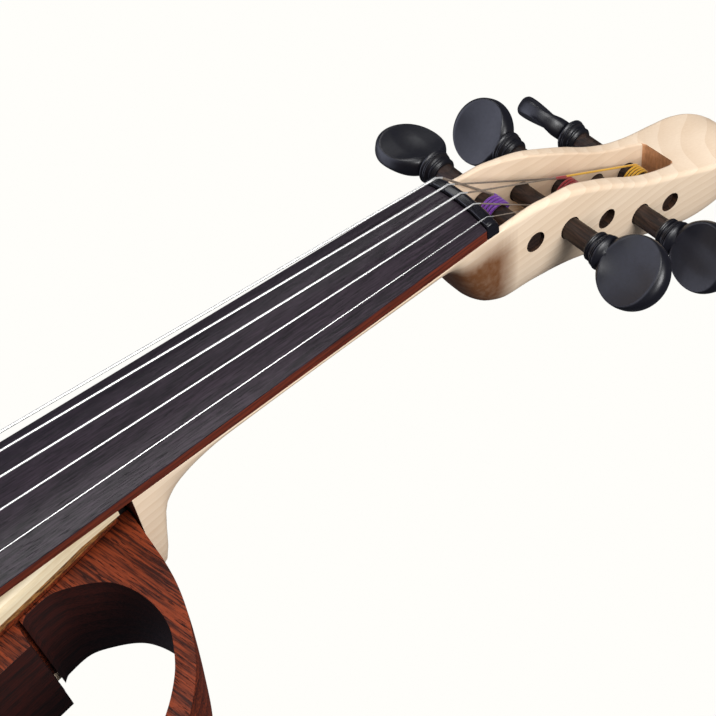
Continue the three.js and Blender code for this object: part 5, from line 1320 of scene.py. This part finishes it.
class StringRun:
    """One string from its tuner over bridge and nut to its turns on the peg."""

    loop_steps = 40
    sides = 10
    ball_place = -11.0
    fret_place = -2.4
    lever_top = 1.3
    room = 0.3
    winding_gap = 0.12
    hidden_turns = 3
    nut_end = 2.0
    behind_nut = (4.6, -1.6)
    silk_limits = (0.05, 0.97)
    lead_step = 0.02
    sink = 1.6
    widths = (0.36, 0.34, 0.47, 0.47)
    plain_below = 0.6
    tip_steps = ((2.0, 0.0), (4.4, 0.0), (5.4, 0.25), (6.2, 0.6))
    tip_turn = 0.3

    def __init__(self, sizes: StringSizes, peg: PegSizes) -> None:
        """Takes the string and its peg.

        Args:
            sizes: the string.
            peg: the peg that it winds on.
        """
        self.sizes = sizes
        self.peg = peg

    def shank_radius(self) -> float:
        """Radius of the peg's shank where the string lands on it."""
        distance = self.peg.reach - self.peg.side * self.sizes.landing
        taper = SHANK.end_radius - SHANK.start_radius
        share = (distance - SHANK.start) / (SHANK.end - SHANK.start)
        return SHANK.start_radius + taper * share

    def straight(self) -> list[Point]:
        """The middle line from the string ball to the place where it leaves the nut."""
        s = self.sizes
        lift = self.lever_top + s.diameter / 2 + self.room
        inner = self.ball_place + s.diameter
        low = [(x, s.tail_side, self.lever_top) for x in (self.ball_place, inner)]
        high = [(x, s.tail_side, lift) for x in (self.fret_place, 0.0)]
        carry = BOARD.inverted() @ TAIL
        points = [tuple(carry @ Vector(point)) for point in (*low, *high)]
        _, nut_y, nut_z = s.nut
        behind, drop = self.behind_nut
        leaving = (behind, nut_y, nut_z + drop)
        return [*points, s.bridge, s.nut, (self.nut_end, nut_y, nut_z), leaving]

    def way(self) -> tuple[list[Point], list[int]]:
        """The points of the middle line, and the material slot after each."""
        s, peg = self.sizes, self.peg
        points = self.straight()
        # slot 1 gives the string behind the nut its painted shade
        slots = [0] * (len(points) - 1) + [1]
        start = Vector(points[-1])
        radius = self.shank_radius() + s.diameter / 2 + self.room
        dx, dz = peg.along - points[-1][0], -peg.below - points[-1][2]
        first = math.atan2(dx, dz) - math.acos(-radius / math.hypot(dx, dz))
        turns = int(abs(s.end_side - s.landing) / (s.diameter + self.winding_gap))
        total = s.last + 2 * math.pi * (turns - self.hidden_turns) - first
        end = Vector(peg.round_shank(radius, first, s.landing))
        least, most = self.silk_limits
        silk = min(max((s.silk_from - start.x) / (end.x - start.x), least), most)
        lead = silk - s.silk_lead / (end.x - start.x)
        ways = [(lead - self.lead_step, 1), *([(lead, 3)] if s.silk_lead else []), (silk, 2)]
        for share, slot in ways:
            points.append(tuple(start.lerp(end, share)))
            slots.append(slot)
        steps = int(self.loop_steps * total / (2 * math.pi))
        for share in (i / steps for i in range(steps + 1)):
            side = s.landing + (s.end_side - s.landing) * share
            points.append(peg.round_shank(radius, first + total * share, side))
        for depth in (s.diameter, s.diameter + self.sink):
            points.append(peg.round_shank(radius - depth, s.last, s.end_side))
        return points, slots + [2] * (len(points) - len(slots))

    def build(self) -> None:
        """Makes the string and the loose end that comes out of the peg."""
        s, name = self.sizes, self.sizes.name.value
        points, slots = self.way()
        main = "string_plain" if s.diameter < self.plain_below else "string_wound"
        widths = [share * s.diameter for share in self.widths]
        skin = tube(
            points, lambda ring: widths[slots[ring]], self.sides, lambda ring, side: slots[ring]
        )
        wire = Solid(f"string_{name}_wire", skin, main, "string_behind_shade", s.silk, "silk_red")
        wire.settle(BOARD, "root", "string_steel", f"string_{name}", sharp=60)
        out = s.last + math.pi
        tip = [
            self.peg.round_shank(reach, out + bend * self.tip_turn, s.end_side + bend)
            for reach, bend in self.tip_steps
        ]
        end = Solid(f"string_{name}_tip", tube(tip, lambda ring: s.diameter / 2), s.tip)
        end.settle(BOARD, self.peg.body, "string_steel", sharp=180)


class Beam:
    """The layered beam under the strings: spruce, core and maple back."""

    side_round = 3.6
    finish_line = 1.3
    front = -134.4
    front_half = 16.0
    # how far back from the front the core is painted black as shadow
    front_shade = 0.9
    low = 3.45
    high = 9.8
    above = 20
    saddle_seat = (rectangle(-492, -481.75, -15.25, 15.25), 3.2)
    pickup_seat = (rectangle(-327.95, -324.25, -20.25, 20.25), 8.15)
    lead = (-326.1, -12)
    lead_radius = 1.6

    def half_line(self, step: float) -> list[Row]:
        """Points of the bass edge from front to tail."""
        table = Table(BEAM_ROWS)
        line = [(x, table.at(x)[0]) for x in table.places(step)[::-1]]
        return [(self.front, self.front_half), *line[3:]]

    def plan(self, inset: float) -> list[Row]:
        """The layer's plan, set in along its sides and its tail."""
        line = self.half_line(4.0)
        back = line[-1][0] + inset
        half = [(max(x, back), y - inset) for x, y in line]
        return half + mirrored(half)

    def top(self) -> bpy.types.Object:
        """The spruce layer: a square front, and long edges with a soft round."""
        levels = [(0.0, self.low)]
        for angle in quarter(8):
            inset = self.side_round * (1 - math.cos(angle))
            levels.append((inset, self.high - self.side_round * (1 - math.sin(angle))))
        rings = [[(x, y, z) for x, y in self.plan(inset)] for inset, z in levels]
        solid = Solid("beam_spruce", loft(rings), "spruce")
        seats = [
            Solid("seat", raised(plan, bottom, self.above), "spruce")
            for plan, bottom in (self.saddle_seat, self.pickup_seat)
        ]
        bore = rod((*self.lead, self.above), (*self.lead, 3), self.lead_radius)
        solid.cut(*seats, Solid("lead_bore", bore, "spruce"))
        return solid.settle(BODY, "root", "spruce", "beam_top", sharp=40)

    def core(self) -> bpy.types.Object:
        """The middle layer: in the frame's mahogany low on its sides, and painted black at its
        front end as shadow.
        """
        solid = copied("beam_core", "core", "mahogany", "deep_shadow").soften(0.3)
        cuts = (
            (Vector((0, 0, self.finish_line)), Vector((0, 0, -1)), 1),
            (Vector((self.front - self.front_shade, 0, 0)), Vector((1, 0, 0)), 2),
        )
        with edited(solid.mesh) as work:
            for spot, way, slot in cuts:
                place = BODY @ spot / MM
                normal = (BODY.to_3x3() @ way).normalized()
                bisected(work, place, normal)
                for face in work.faces:
                    if (face.calc_center_median() - place).dot(normal) > 0:
                        face.material_index = slot
        return solid.settle(Matrix.Scale(MM, 4), "root", "core_wood", "beam_core")

    def build(self) -> None:
        """Makes the layers and the dowels of the heel."""
        self.top()
        self.core()
        dressed("beam_back", "maple", 0.3)
        for i in (1, 2):
            dressed(f"heel_dowel_{i}", "maple", 0.4)


class FrameSide:
    """One side of the open frame: band, loops, saw kerf and tail block."""

    depth = 36.0
    edge = 1.3
    draft = 4.2
    draft_curve = 1.2
    reach = 5.0
    levels = 4
    eased_points = 10
    looks = ("mahogany", "opening_wall_shade", "deep_shadow")
    heel_corner = [(-135.1, 13.65), (-131.5, 13.65)]
    kerf_plan = rectangle(-172.4, -171.1, 13.4, 41.7)
    cavity_plan = rectangle(-467, -446, -53, -31)
    cavity_top = -5
    lip_plan = rectangle(-470.2, -442.8, -56.2, -27.8)
    lip_top = -33.75
    switch_plan = rectangle(-460.8, -452.2, -36.6, -33.0)
    bores = (
        ((-456.5, -45.25, -10), (-456.5, -45.25, 5.0), 3.8),
        ((-492, -42, -18), (-462, -42, -18), 5.75),
        ((-492, -42, -18), (-475.5, -42, -18), 7.75),
    )

    def __init__(self, side: int) -> None:
        """Takes the side.

        Args:
            side: 1 for the bass side, -1 for the treble side.
        """
        self.side = side
        self.name = "bass" if side > 0 else "treble"
        self.front = BASS_FRONT if side > 0 else TREBLE_FRONT
        self.rim = BASS_RIM if side > 0 else TREBLE_RIM

    def _flip(self, points: Sequence[Row]) -> list[Row]:
        """A plan of the bass side, mirrored for the treble side."""
        return list(points) if self.side > 0 else mirrored(points)

    def outline(self, inset: float) -> list[Row]:
        """The plan of the whole side at one height.

        Args:
            inset: how far the outer edge lies inside its upper arris.

        Returns:
            The points, round the side once.
        """
        beam = Table(BEAM_ROWS)
        inner = [(x, beam.at(x)[0] + GLUE) for x in beam.places(6.0)]
        outer = flowing((*self.front, *OUTER_REST), 6)
        shrunk, last = [], len(outer) - 1
        for i, (x, y) in enumerate(outer):
            along = (Vector(outer[min(i + 1, last)]) - Vector(outer[max(i - 1, 0)])).normalized()
            ease = min(1.0, i / self.eased_points, (last - i) / self.eased_points)
            shrunk.append((x - along.y * inset * ease, y + along.x * inset * ease))
        return [*self.heel_corner, *shrunk, *inner]

    def body(self) -> Solid:
        """The side before its openings are cut, narrower below than above."""
        rings = []
        for below in (1 - k / self.levels for k in range(self.levels + 1)):
            plan = self._flip(self.outline(self.draft * below**self.draft_curve))
            rings.append([(x, y, -self.depth * below) for x, y in plan])
        return Solid(f"frame_{self.name}_wood", loft(rings), *self.looks)

    def cutter(self, outline: Sequence[Row], top: float | None = None, wall: int = 1) -> Solid:
        """A plan raised from below the side; its walls take a dark painted shade, or the kerf's
        painted shadow.
        """
        low, high = -self.depth - self.reach, self.reach if top is None else top
        return Solid("opening", raised(outline, low, high, wall), *self.looks)

    def openings(self) -> list[Solid]:
        """The two loops."""
        upper = flowing((*self.rim, *RIM_REST), 6)
        lower = flowing(LOWER_RIM, 6, closed=True)
        return [self.cutter(self._flip(plan)) for plan in (upper, lower)]

    def controls(self) -> list[Solid]:
        """The cavity, its lip, and the ways in for knob, switch and jack."""
        # the switch slot's walls take the openings' painted shade
        way_in = raised(self.switch_plan, -10, self.reach, 1)
        bores = [rod(*bore) for bore in self.bores]
        return [
            self.cutter(self.cavity_plan, self.cavity_top),
            self.cutter(self.lip_plan, self.lip_top),
            Solid("opening", way_in, *self.looks),
            *(Solid("bore", bore, "mahogany", "opening_wall_shade") for bore in bores),
        ]

    def build(self) -> bpy.types.Object:
        """Makes the side.

        Returns:
            The finished object.
        """
        solid = self.body()
        solid.cut(*self.openings())
        solid.soften(self.edge, 4, 55)
        # the kerf's walls are painted black as shadow
        solid.cut(self.cutter(self._flip(self.kerf_plan), wall=2))
        if self.side < 0:
            solid.cut(*self.controls())
        return solid.settle(BODY, "root", "mahogany", f"frame_{self.name}", sharp=35)


@dataclass(frozen=True)
class RibbedHead:
    """A turned head with ribs around it, as on a knob or a finger screw.

    The head stands upright on a place of its frame. The ribs come from one node group.
    """

    node: str
    body: str
    look: str
    place: Point
    profile: tuple[Row, ...]
    ribs: int
    rib_circle: float
    rib_radius: float
    rib_bottom: float
    rib_height: float

    @staticmethod
    def group() -> bpy.types.NodeTree:
        """The node group that sets upright ribs on a circle.

        Returns:
            The group, made on first use.
        """
        known = bpy.data.node_groups.get("ribs round a head")
        if known:
            return known
        tree = bpy.data.node_groups.new("ribs round a head", "GeometryNodeTree")
        tree.interface.new_socket("Geometry", in_out="OUTPUT", socket_type="NodeSocketGeometry")
        kinds = {"Count": "Int", "Circle": "Float", "Rib Radius": "Float", "Bottom": "Float"}
        kinds |= {"Height": "Float", "Material": "Material"}
        for name, kind in kinds.items():
            tree.interface.new_socket(name, in_out="INPUT", socket_type=f"NodeSocket{kind}")

        def add(kind: str, inputs: dict[str | int, object], **settings: object) -> Socket:
            """Adds a node to the group and gives its first output."""
            return add_node(tree, kind, inputs, **settings).outputs[0]

        given = add_node(tree, "NodeGroupInput").outputs
        circle = add(
            "GeometryNodeMeshCircle", {"Vertices": given["Count"], "Radius": given["Circle"]}
        )
        rib = add(
            "GeometryNodeMeshCylinder",
            {"Vertices": 12, "Radius": given["Rib Radius"], "Depth": given["Height"]},
        )
        half = add("ShaderNodeMath", {0: given["Height"], 1: 0.5}, operation="MULTIPLY")
        middle = add("ShaderNodeMath", {0: given["Bottom"], 1: half})
        lift = add("ShaderNodeCombineXYZ", {"Z": middle})
        spread = add("GeometryNodeInstanceOnPoints", {"Points": circle, "Instance": rib})
        lifted = add("GeometryNodeTransform", {"Geometry": spread, "Translation": lift})
        real = add("GeometryNodeRealizeInstances", {0: lifted})
        made = add("GeometryNodeSetMaterial", {"Geometry": real, "Material": given["Material"]})
        add_node(tree, "NodeGroupOutput", {0: made})
        return tree

    def ring_of_ribs(self) -> Solid:
        """The ribs as a solid of their own, in the head's frame."""
        solid = Solid(f"{self.node}_ribs", Skin(), self.look)
        step = solid.item.modifiers.new("ribs", "NODES")
        step.node_group = self.group()
        values = {
            "Count": self.ribs,
            "Circle": self.rib_circle,
            "Rib Radius": self.rib_radius,
            "Bottom": self.rib_bottom,
            "Height": self.rib_height,
            "Material": MATERIALS[self.look],
        }
        for socket in step.node_group.interface.items_tree:
            if socket.in_out == "INPUT":
                step[socket.identifier] = values[socket.name]
        return solid.apply()

    def build(self, place: Matrix) -> None:
        """Makes the head and its ribs.

        Args:
            place: the frame in which the head's place is given.
        """
        carry = place @ Matrix.Translation(self.place)
        upright = carry @ Matrix.Rotation(math.pi / 2, 4, "X")
        core = Solid(f"{self.node}_turned", turned(self.profile, 64), self.look)
        core.settle(upright, self.body, self.look, self.node, sharp=30)
        self.ring_of_ribs().settle(carry, self.body, self.look, sharp=50)


KNOB = RibbedHead(
    "volume_knob", "knob_body", "black_plastic", (-456.5, -45.25, 0.0),
    (
        (9.2, 3.35), (1.3, 3.35), (1.0, 3.6), (1.0, 7.2), (1.3, 7.6), (2.6, 7.6), (2.9, 7.3),
        (11.2, 7.2), (12.2, 6.9), (12.8, 6.2), (13.0, 5.4), (12.7, 4.9), (12.6, 1.0), (12.6, 0.3),
    ),
    28, 7.2, 0.5, 2.9, 8.4,
)
SCREW_PROFILE = (
    (-7.1, 1.0), (-6.9, 1.27), (2.9, 1.27), (3.2, 1.7), (3.2, 2.5), (3.4, 2.7), (6.5, 2.7),
    (6.9, 2.5), (7.2, 2.0), (7.35, 1.2), (7.4, 0.3),
)
SCREW_RIBS = (16, 2.62, 0.3, 3.4, 3.2)


class Tailpiece:
    """The arched tailpiece with its fret, its lever slots and its bores."""

    rows: tuple[Row, ...] = (
        (0.0, 20.7), (-1.2, 22.2), (-4.6, 22.9), (-14.0, 22.6), (-27.6, 21.3), (-44.0, 17.6),
        (-59.8, 14.3), (-74.0, 12.0), (-88.3, 10.4), (-91.0, 9.5), (-92.0, 8.5),
    )
    length = 92.0
    end_places = (-92.0, -91.8, -91.4, -90.8, -1.2, -0.6, -0.2, 0.0)
    thickness = 7.0
    crown = 1.3
    edge = 1.5
    arch_steps = 6
    fret = rectangle(-4.0, -1.6, -18.7, 18.7)
    slot_half = 1.7
    look = "black_plastic"

    def ring(self, x: float, half: float) -> list[Point]:
        """One cross-section: flat below, arched above, with rounded edges."""
        shrink = max(0.0, self.edge - min(-x, x + self.length))
        inset = self.edge - math.sqrt(max(self.edge**2 - shrink**2, 0.0))
        low, high = -self.thickness + inset, -inset
        ring = []
        for angle in quarter(6):
            side = half - self.edge * (1 - math.sin(angle))
            ring.append((x, side, low + self.edge * (1 - math.cos(angle))))
        for angle in quarter(6, 1):
            side = half - self.edge * (1 - math.cos(angle))
            drop = self.crown + self.edge * (1 - math.sin(angle))
            ring.append((x, side, high - drop))
        flank = [(x, -y, z) for x, y, z in reversed(ring)]
        for k in range(1, 2 * self.arch_steps):
            share = 1 - k / self.arch_steps
            ring.append((x, (half - self.edge) * share, high - self.crown * share**2))
        return ring + flank

    def build(self) -> bpy.types.Object:
        """Makes the tailpiece.

        Returns:
            The finished object.
        """
        table = Table(self.rows)
        xs = sorted({*self.end_places, *table.places(2.5)})
        rings = [self.ring(x, table.at(x)[0]) for x in xs]
        solid = Solid("tailpiece_moulded", loft(rings), self.look)
        solid.join(Solid("fret", raised(self.fret, -1.6, 1.3), self.look).soften(0.5, 3))
        cutters = [rod((-10.5, -30, -4.4), (-10.5, 30, -4.4), 1.05)]
        cutters += [rod((-97, y, -3.5), (-82, y, -3.5), 1.25) for y in (-5.5, 5.5)]
        for y in (string.tail_side for string in STRINGS):
            plan = rectangle(-16, -5.6, y - self.slot_half, y + self.slot_half)
            cutters += [raised(plan, -12, 5), rod((-22, y, -12), (-22, y, 5), 1.6)]
        solid.cut(*(Solid("opening", skin, self.look) for skin in cutters))
        return solid.settle(TAIL, "root", "black_plastic", "tailpiece", sharp=35)


class ChinRest:
    """The cupped rest on the bass side with the two posts of its clamp."""

    plan: tuple[Row, ...] = (
        (-486, -25.6), (-472.4, -32), (-462.4, -16), (-463.7, 10.6), (-447.6, 26.4), (-424, 44),
        (-424, 63.4), (-439.5, 81.8), (-458.1, 88), (-472.4, 81), (-482.9, 57.2), (-486, 26.4),
    )
    levels: tuple[Row, ...] = (
        (20.0, 2.2), (20.4, 1.2), (21.4, 0.4), (23.0, 0.0), (25.6, 0.2), (27.2, 0.9), (28.1, 1.9),
        (28.5, 3.2),
    )
    back, front = -486.0, -424.0
    cup_place: Point = (-455.0, 48.4, 93.0)
    cup_radius = 70.0
    cup_steps = 40
    cup_pole = 0.01
    tab_half = 3.4
    looks = ("ebony", "steel")

    def outline(self, inset: float) -> list[Row]:
        """The plan, set in by a distance."""
        line = flowing(self.plan, 8, closed=True)
        shrunk = []
        for i, (x, y) in enumerate(line):
            along = (Vector(line[(i + 1) % len(line)]) - Vector(line[i - 1])).normalized()
            place = min(max(x + along.y * -inset, self.back + inset), self.front - inset)
            shrunk.append((place, y + along.x * inset))
        return shrunk

    def cup(self) -> Solid:
        """The ball that hollows the rest."""
        profile = []
        for k in range(self.cup_steps + 1):
            angle = math.pi * k / self.cup_steps
            wide = max(self.cup_radius * math.sin(angle), self.cup_pole)
            profile.append((-self.cup_radius * math.cos(angle), wide))
        solid = Solid("cup_cutter", turned(profile, 96), *self.looks)
        solid.mesh.transform(Matrix.Translation(self.cup_place))
        return solid

    def build(self) -> None:
        """Makes the rest with its posts."""
        rings = [[(x, y, z) for x, y in self.outline(inset)] for z, inset in self.levels]
        solid = Solid("chin_rest_carved", loft(rings), *self.looks).cut(self.cup())
        for side in (-15.5, 15.5):
            post = rod((-491.6, side, 5.0), (-491.6, side, 20.6), 1.65).painted(1)
            plan = rectangle(-495, -484, side - self.tab_half, side + self.tab_half)
            tab = Solid("tab", raised(plan, 20.0, 21.5, 1), *self.looks).soften(0.6, 3)
            solid.join(Solid("post", post, *self.looks), tab)
        solid.settle(BODY, "root", "ebony", "chin_rest", sharp=32)


# Look, width of the softened edges, nodes
PLAIN_PIECES = (
    ("ebony", 0.5, "saddle", "end_button"),
    ("bridge_maple", 0.2, "bridge"),
    ("brass", 0.15, "bridge_pickup"),
    ("nylon", 0.0, "pickup_lead", "tail_loop"),
    ("steel", 0.1, "tuner_axle"),
    ("cork", 0.3, "rest_cork_1", "rest_cork_2"),
    ("black_plastic", 0.3, "cavity_cover"),
    ("steel", 0.1, *(f"cover_screw_{i}" for i in range(1, 5))),
    ("steel", 0.3, "volume_pot"),
    ("steel", 0.2, "switch_housing"),
    ("steel", 0.3, "output_jack"),
)


def build_small_pieces() -> None:
    """Dresses the pieces behind the picture's edge."""
    for look, width, *nodes in PLAIN_PIECES:
        for node in nodes:
            dressed(node, look, width)
    KNOB.build(BODY)
    dressed("switch_slider", "black_plastic", 0.3, "switch_body")
    for i in (1, 2):
        dressed(f"clamp_barrel_{i}", "steel", 0.3, f"clamp_barrel_{i}_body")
    dressed("clamp_foot", "steel", 0.3, "clamp_foot_body")
    dressed("clamp_cork", "cork", 0.3, "clamp_foot_body")
    for string in STRINGS:
        screw = f"tuner_screw_{string.name.value}"
        lever = f"tuner_lever_{string.name.value}"
        place = (-22.0, string.tail_side, 0.0)
        sizes = (place, SCREW_PROFILE, *SCREW_RIBS)
        RibbedHead(screw, f"{screw}_body", "steel", *sizes).build(TAIL)
        dressed(lever, "steel", 0.15, f"{lever}_body")
        dressed(f"string_ball_{string.name.value}", "brass", 0.2, f"{lever}_body")


# Studio


class Studio:
    """Camera, lamps and the white surroundings."""

    camera_place = (-187.89, -237.53, 296.26)
    camera_axes = ((0.7747, -0.6231, -0.1076), (0.5364, 0.5574, 0.6337), (-0.3349, -0.5487, 0.7660))
    focal = 1400.0
    picture = 716
    sensor = 36.0
    sheen_way = (-0.75, 0.6, 0.25)

    def add_camera(self) -> None:
        """Places the camera where the photograph was taken from."""
        axes = Matrix([Vector(axis) for axis in self.camera_axes]).transposed().to_4x4()
        spot, turn, _ = (BOARD @ Matrix.Translation(self.camera_place) @ axes).decompose()
        data = bpy.data.cameras.new("camera")
        data.sensor_width = self.sensor
        data.lens = self.focal * self.sensor / self.picture
        data.clip_start = 0.01
        camera = bpy.data.objects.new("camera", data)
        camera.matrix_world = Matrix.LocRotScale(spot, turn, Vector((1, 1, 1)))
        bpy.context.scene.collection.objects.link(camera)
        bpy.context.scene.camera = camera

    def add_lamp(self, name: str, place: Point, aim: Point, size: Row, power: float) -> None:
        """Adds a soft lamp.

        Args:
            name: its name.
            place: where it stands, in board millimetres.
            aim: where it points, in board millimetres.
            size: its width and height in millimetres.
            power: its strength in watts.
        """
        data = bpy.data.lights.new(name, "AREA")
        data.shape = "RECTANGLE"
        data.size, data.size_y = size[0] * MM, size[1] * MM
        data.energy = power
        lamp = bpy.data.objects.new(name, data)
        start, end = BOARD @ Vector(place), BOARD @ Vector(aim)
        turn = (end - start).to_track_quat("-Z", "Y").to_matrix().to_4x4()
        lamp.matrix_world = Matrix.Translation(start) @ turn
        bpy.context.scene.collection.objects.link(lamp)

    def add_surroundings(self) -> None:
        """White for the camera, dim grey for what the wood and the lacquer reflect."""
        world = bpy.data.worlds.new("studio")
        world.use_nodes = True
        bpy.context.scene.world = world
        tree = world.node_tree
        tree.nodes.clear()

        def shine(colour: str, strength: float | Socket) -> Socket:
            """A colour that shines with a strength."""
            inputs = {"Color": linear(colour), "Strength": strength}
            return add_node(tree, "ShaderNodeBackground", inputs).outputs[0]

        def chosen(ray: str, other: Socket, own: Socket) -> Socket:
            """What one kind of ray sees of its own, and what the others see."""
            inputs = {0: path[ray], 1: other, 2: own}
            return add_node(tree, "ShaderNodeMixShader", inputs).outputs[0]

        path = add_node(tree, "ShaderNodeLightPath").outputs
        way = add_node(tree, "ShaderNodeTexCoord").outputs["Generated"]
        height = add_node(tree, "ShaderNodeSeparateXYZ", {0: way}).outputs["Z"]
        soft = shine("#f7f6fa", ranged(tree, height, -0.3, 0.6, 0.06, 0.42))
        inputs = {0: way, 1: self.sheen_way}
        toward = add_node(tree, "ShaderNodeVectorMath", inputs, operation="DOT_PRODUCT")
        sheen = ranged(tree, toward.outputs["Value"], 0.55, 1.0, 0.1, 3.2)
        lit = chosen("Is Glossy Ray", soft, shine("#c9cce0", sheen))
        seen = chosen("Is Camera Ray", lit, shine("#fffefa", 1.0))
        add_node(tree, "ShaderNodeOutputWorld", {0: seen})

    def build(self) -> None:
        """Sets up everything round the violin."""
        self.add_camera()
        self.add_surroundings()
        self.add_lamp("key", (-120, -120, 640), (20, 0, -20), (460, 360), 3.1)
        self.add_lamp("side", (60, -520, 260), (-20, 0, -20), (300, 260), 3.3)
        self.add_lamp("back", (260, 420, 380), (40, 0, -20), (420, 160), 0.7)
        bpy.context.scene.view_settings.view_transform = "Standard"


def write_sizes() -> None:
    """Gathers the solids' box and the dressed violin's box, in metres."""
    boxes = {"cad": CAD_BOX, "visual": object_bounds()}
    plain = {name: [[float(x) for x in corner] for corner in box] for name, box in boxes.items()}


def main() -> None:
    """Builds the studio and the violin."""
    Studio().build()
    Neck().build()
    Fingerboard().build()
    Nut().build()
    by_name = {string.name: string for string in STRINGS}
    for peg in PEGS:
        Peg(peg, by_name[peg.name]).build()
        StringRun(by_name[peg.name], peg).build()
    Beam().build()
    for side in (-1, 1):
        FrameSide(side).build()
    Tailpiece().build()
    ChinRest().build()
    build_small_pieces()


if __name__ == "__main__":
    main()
    write_sizes()
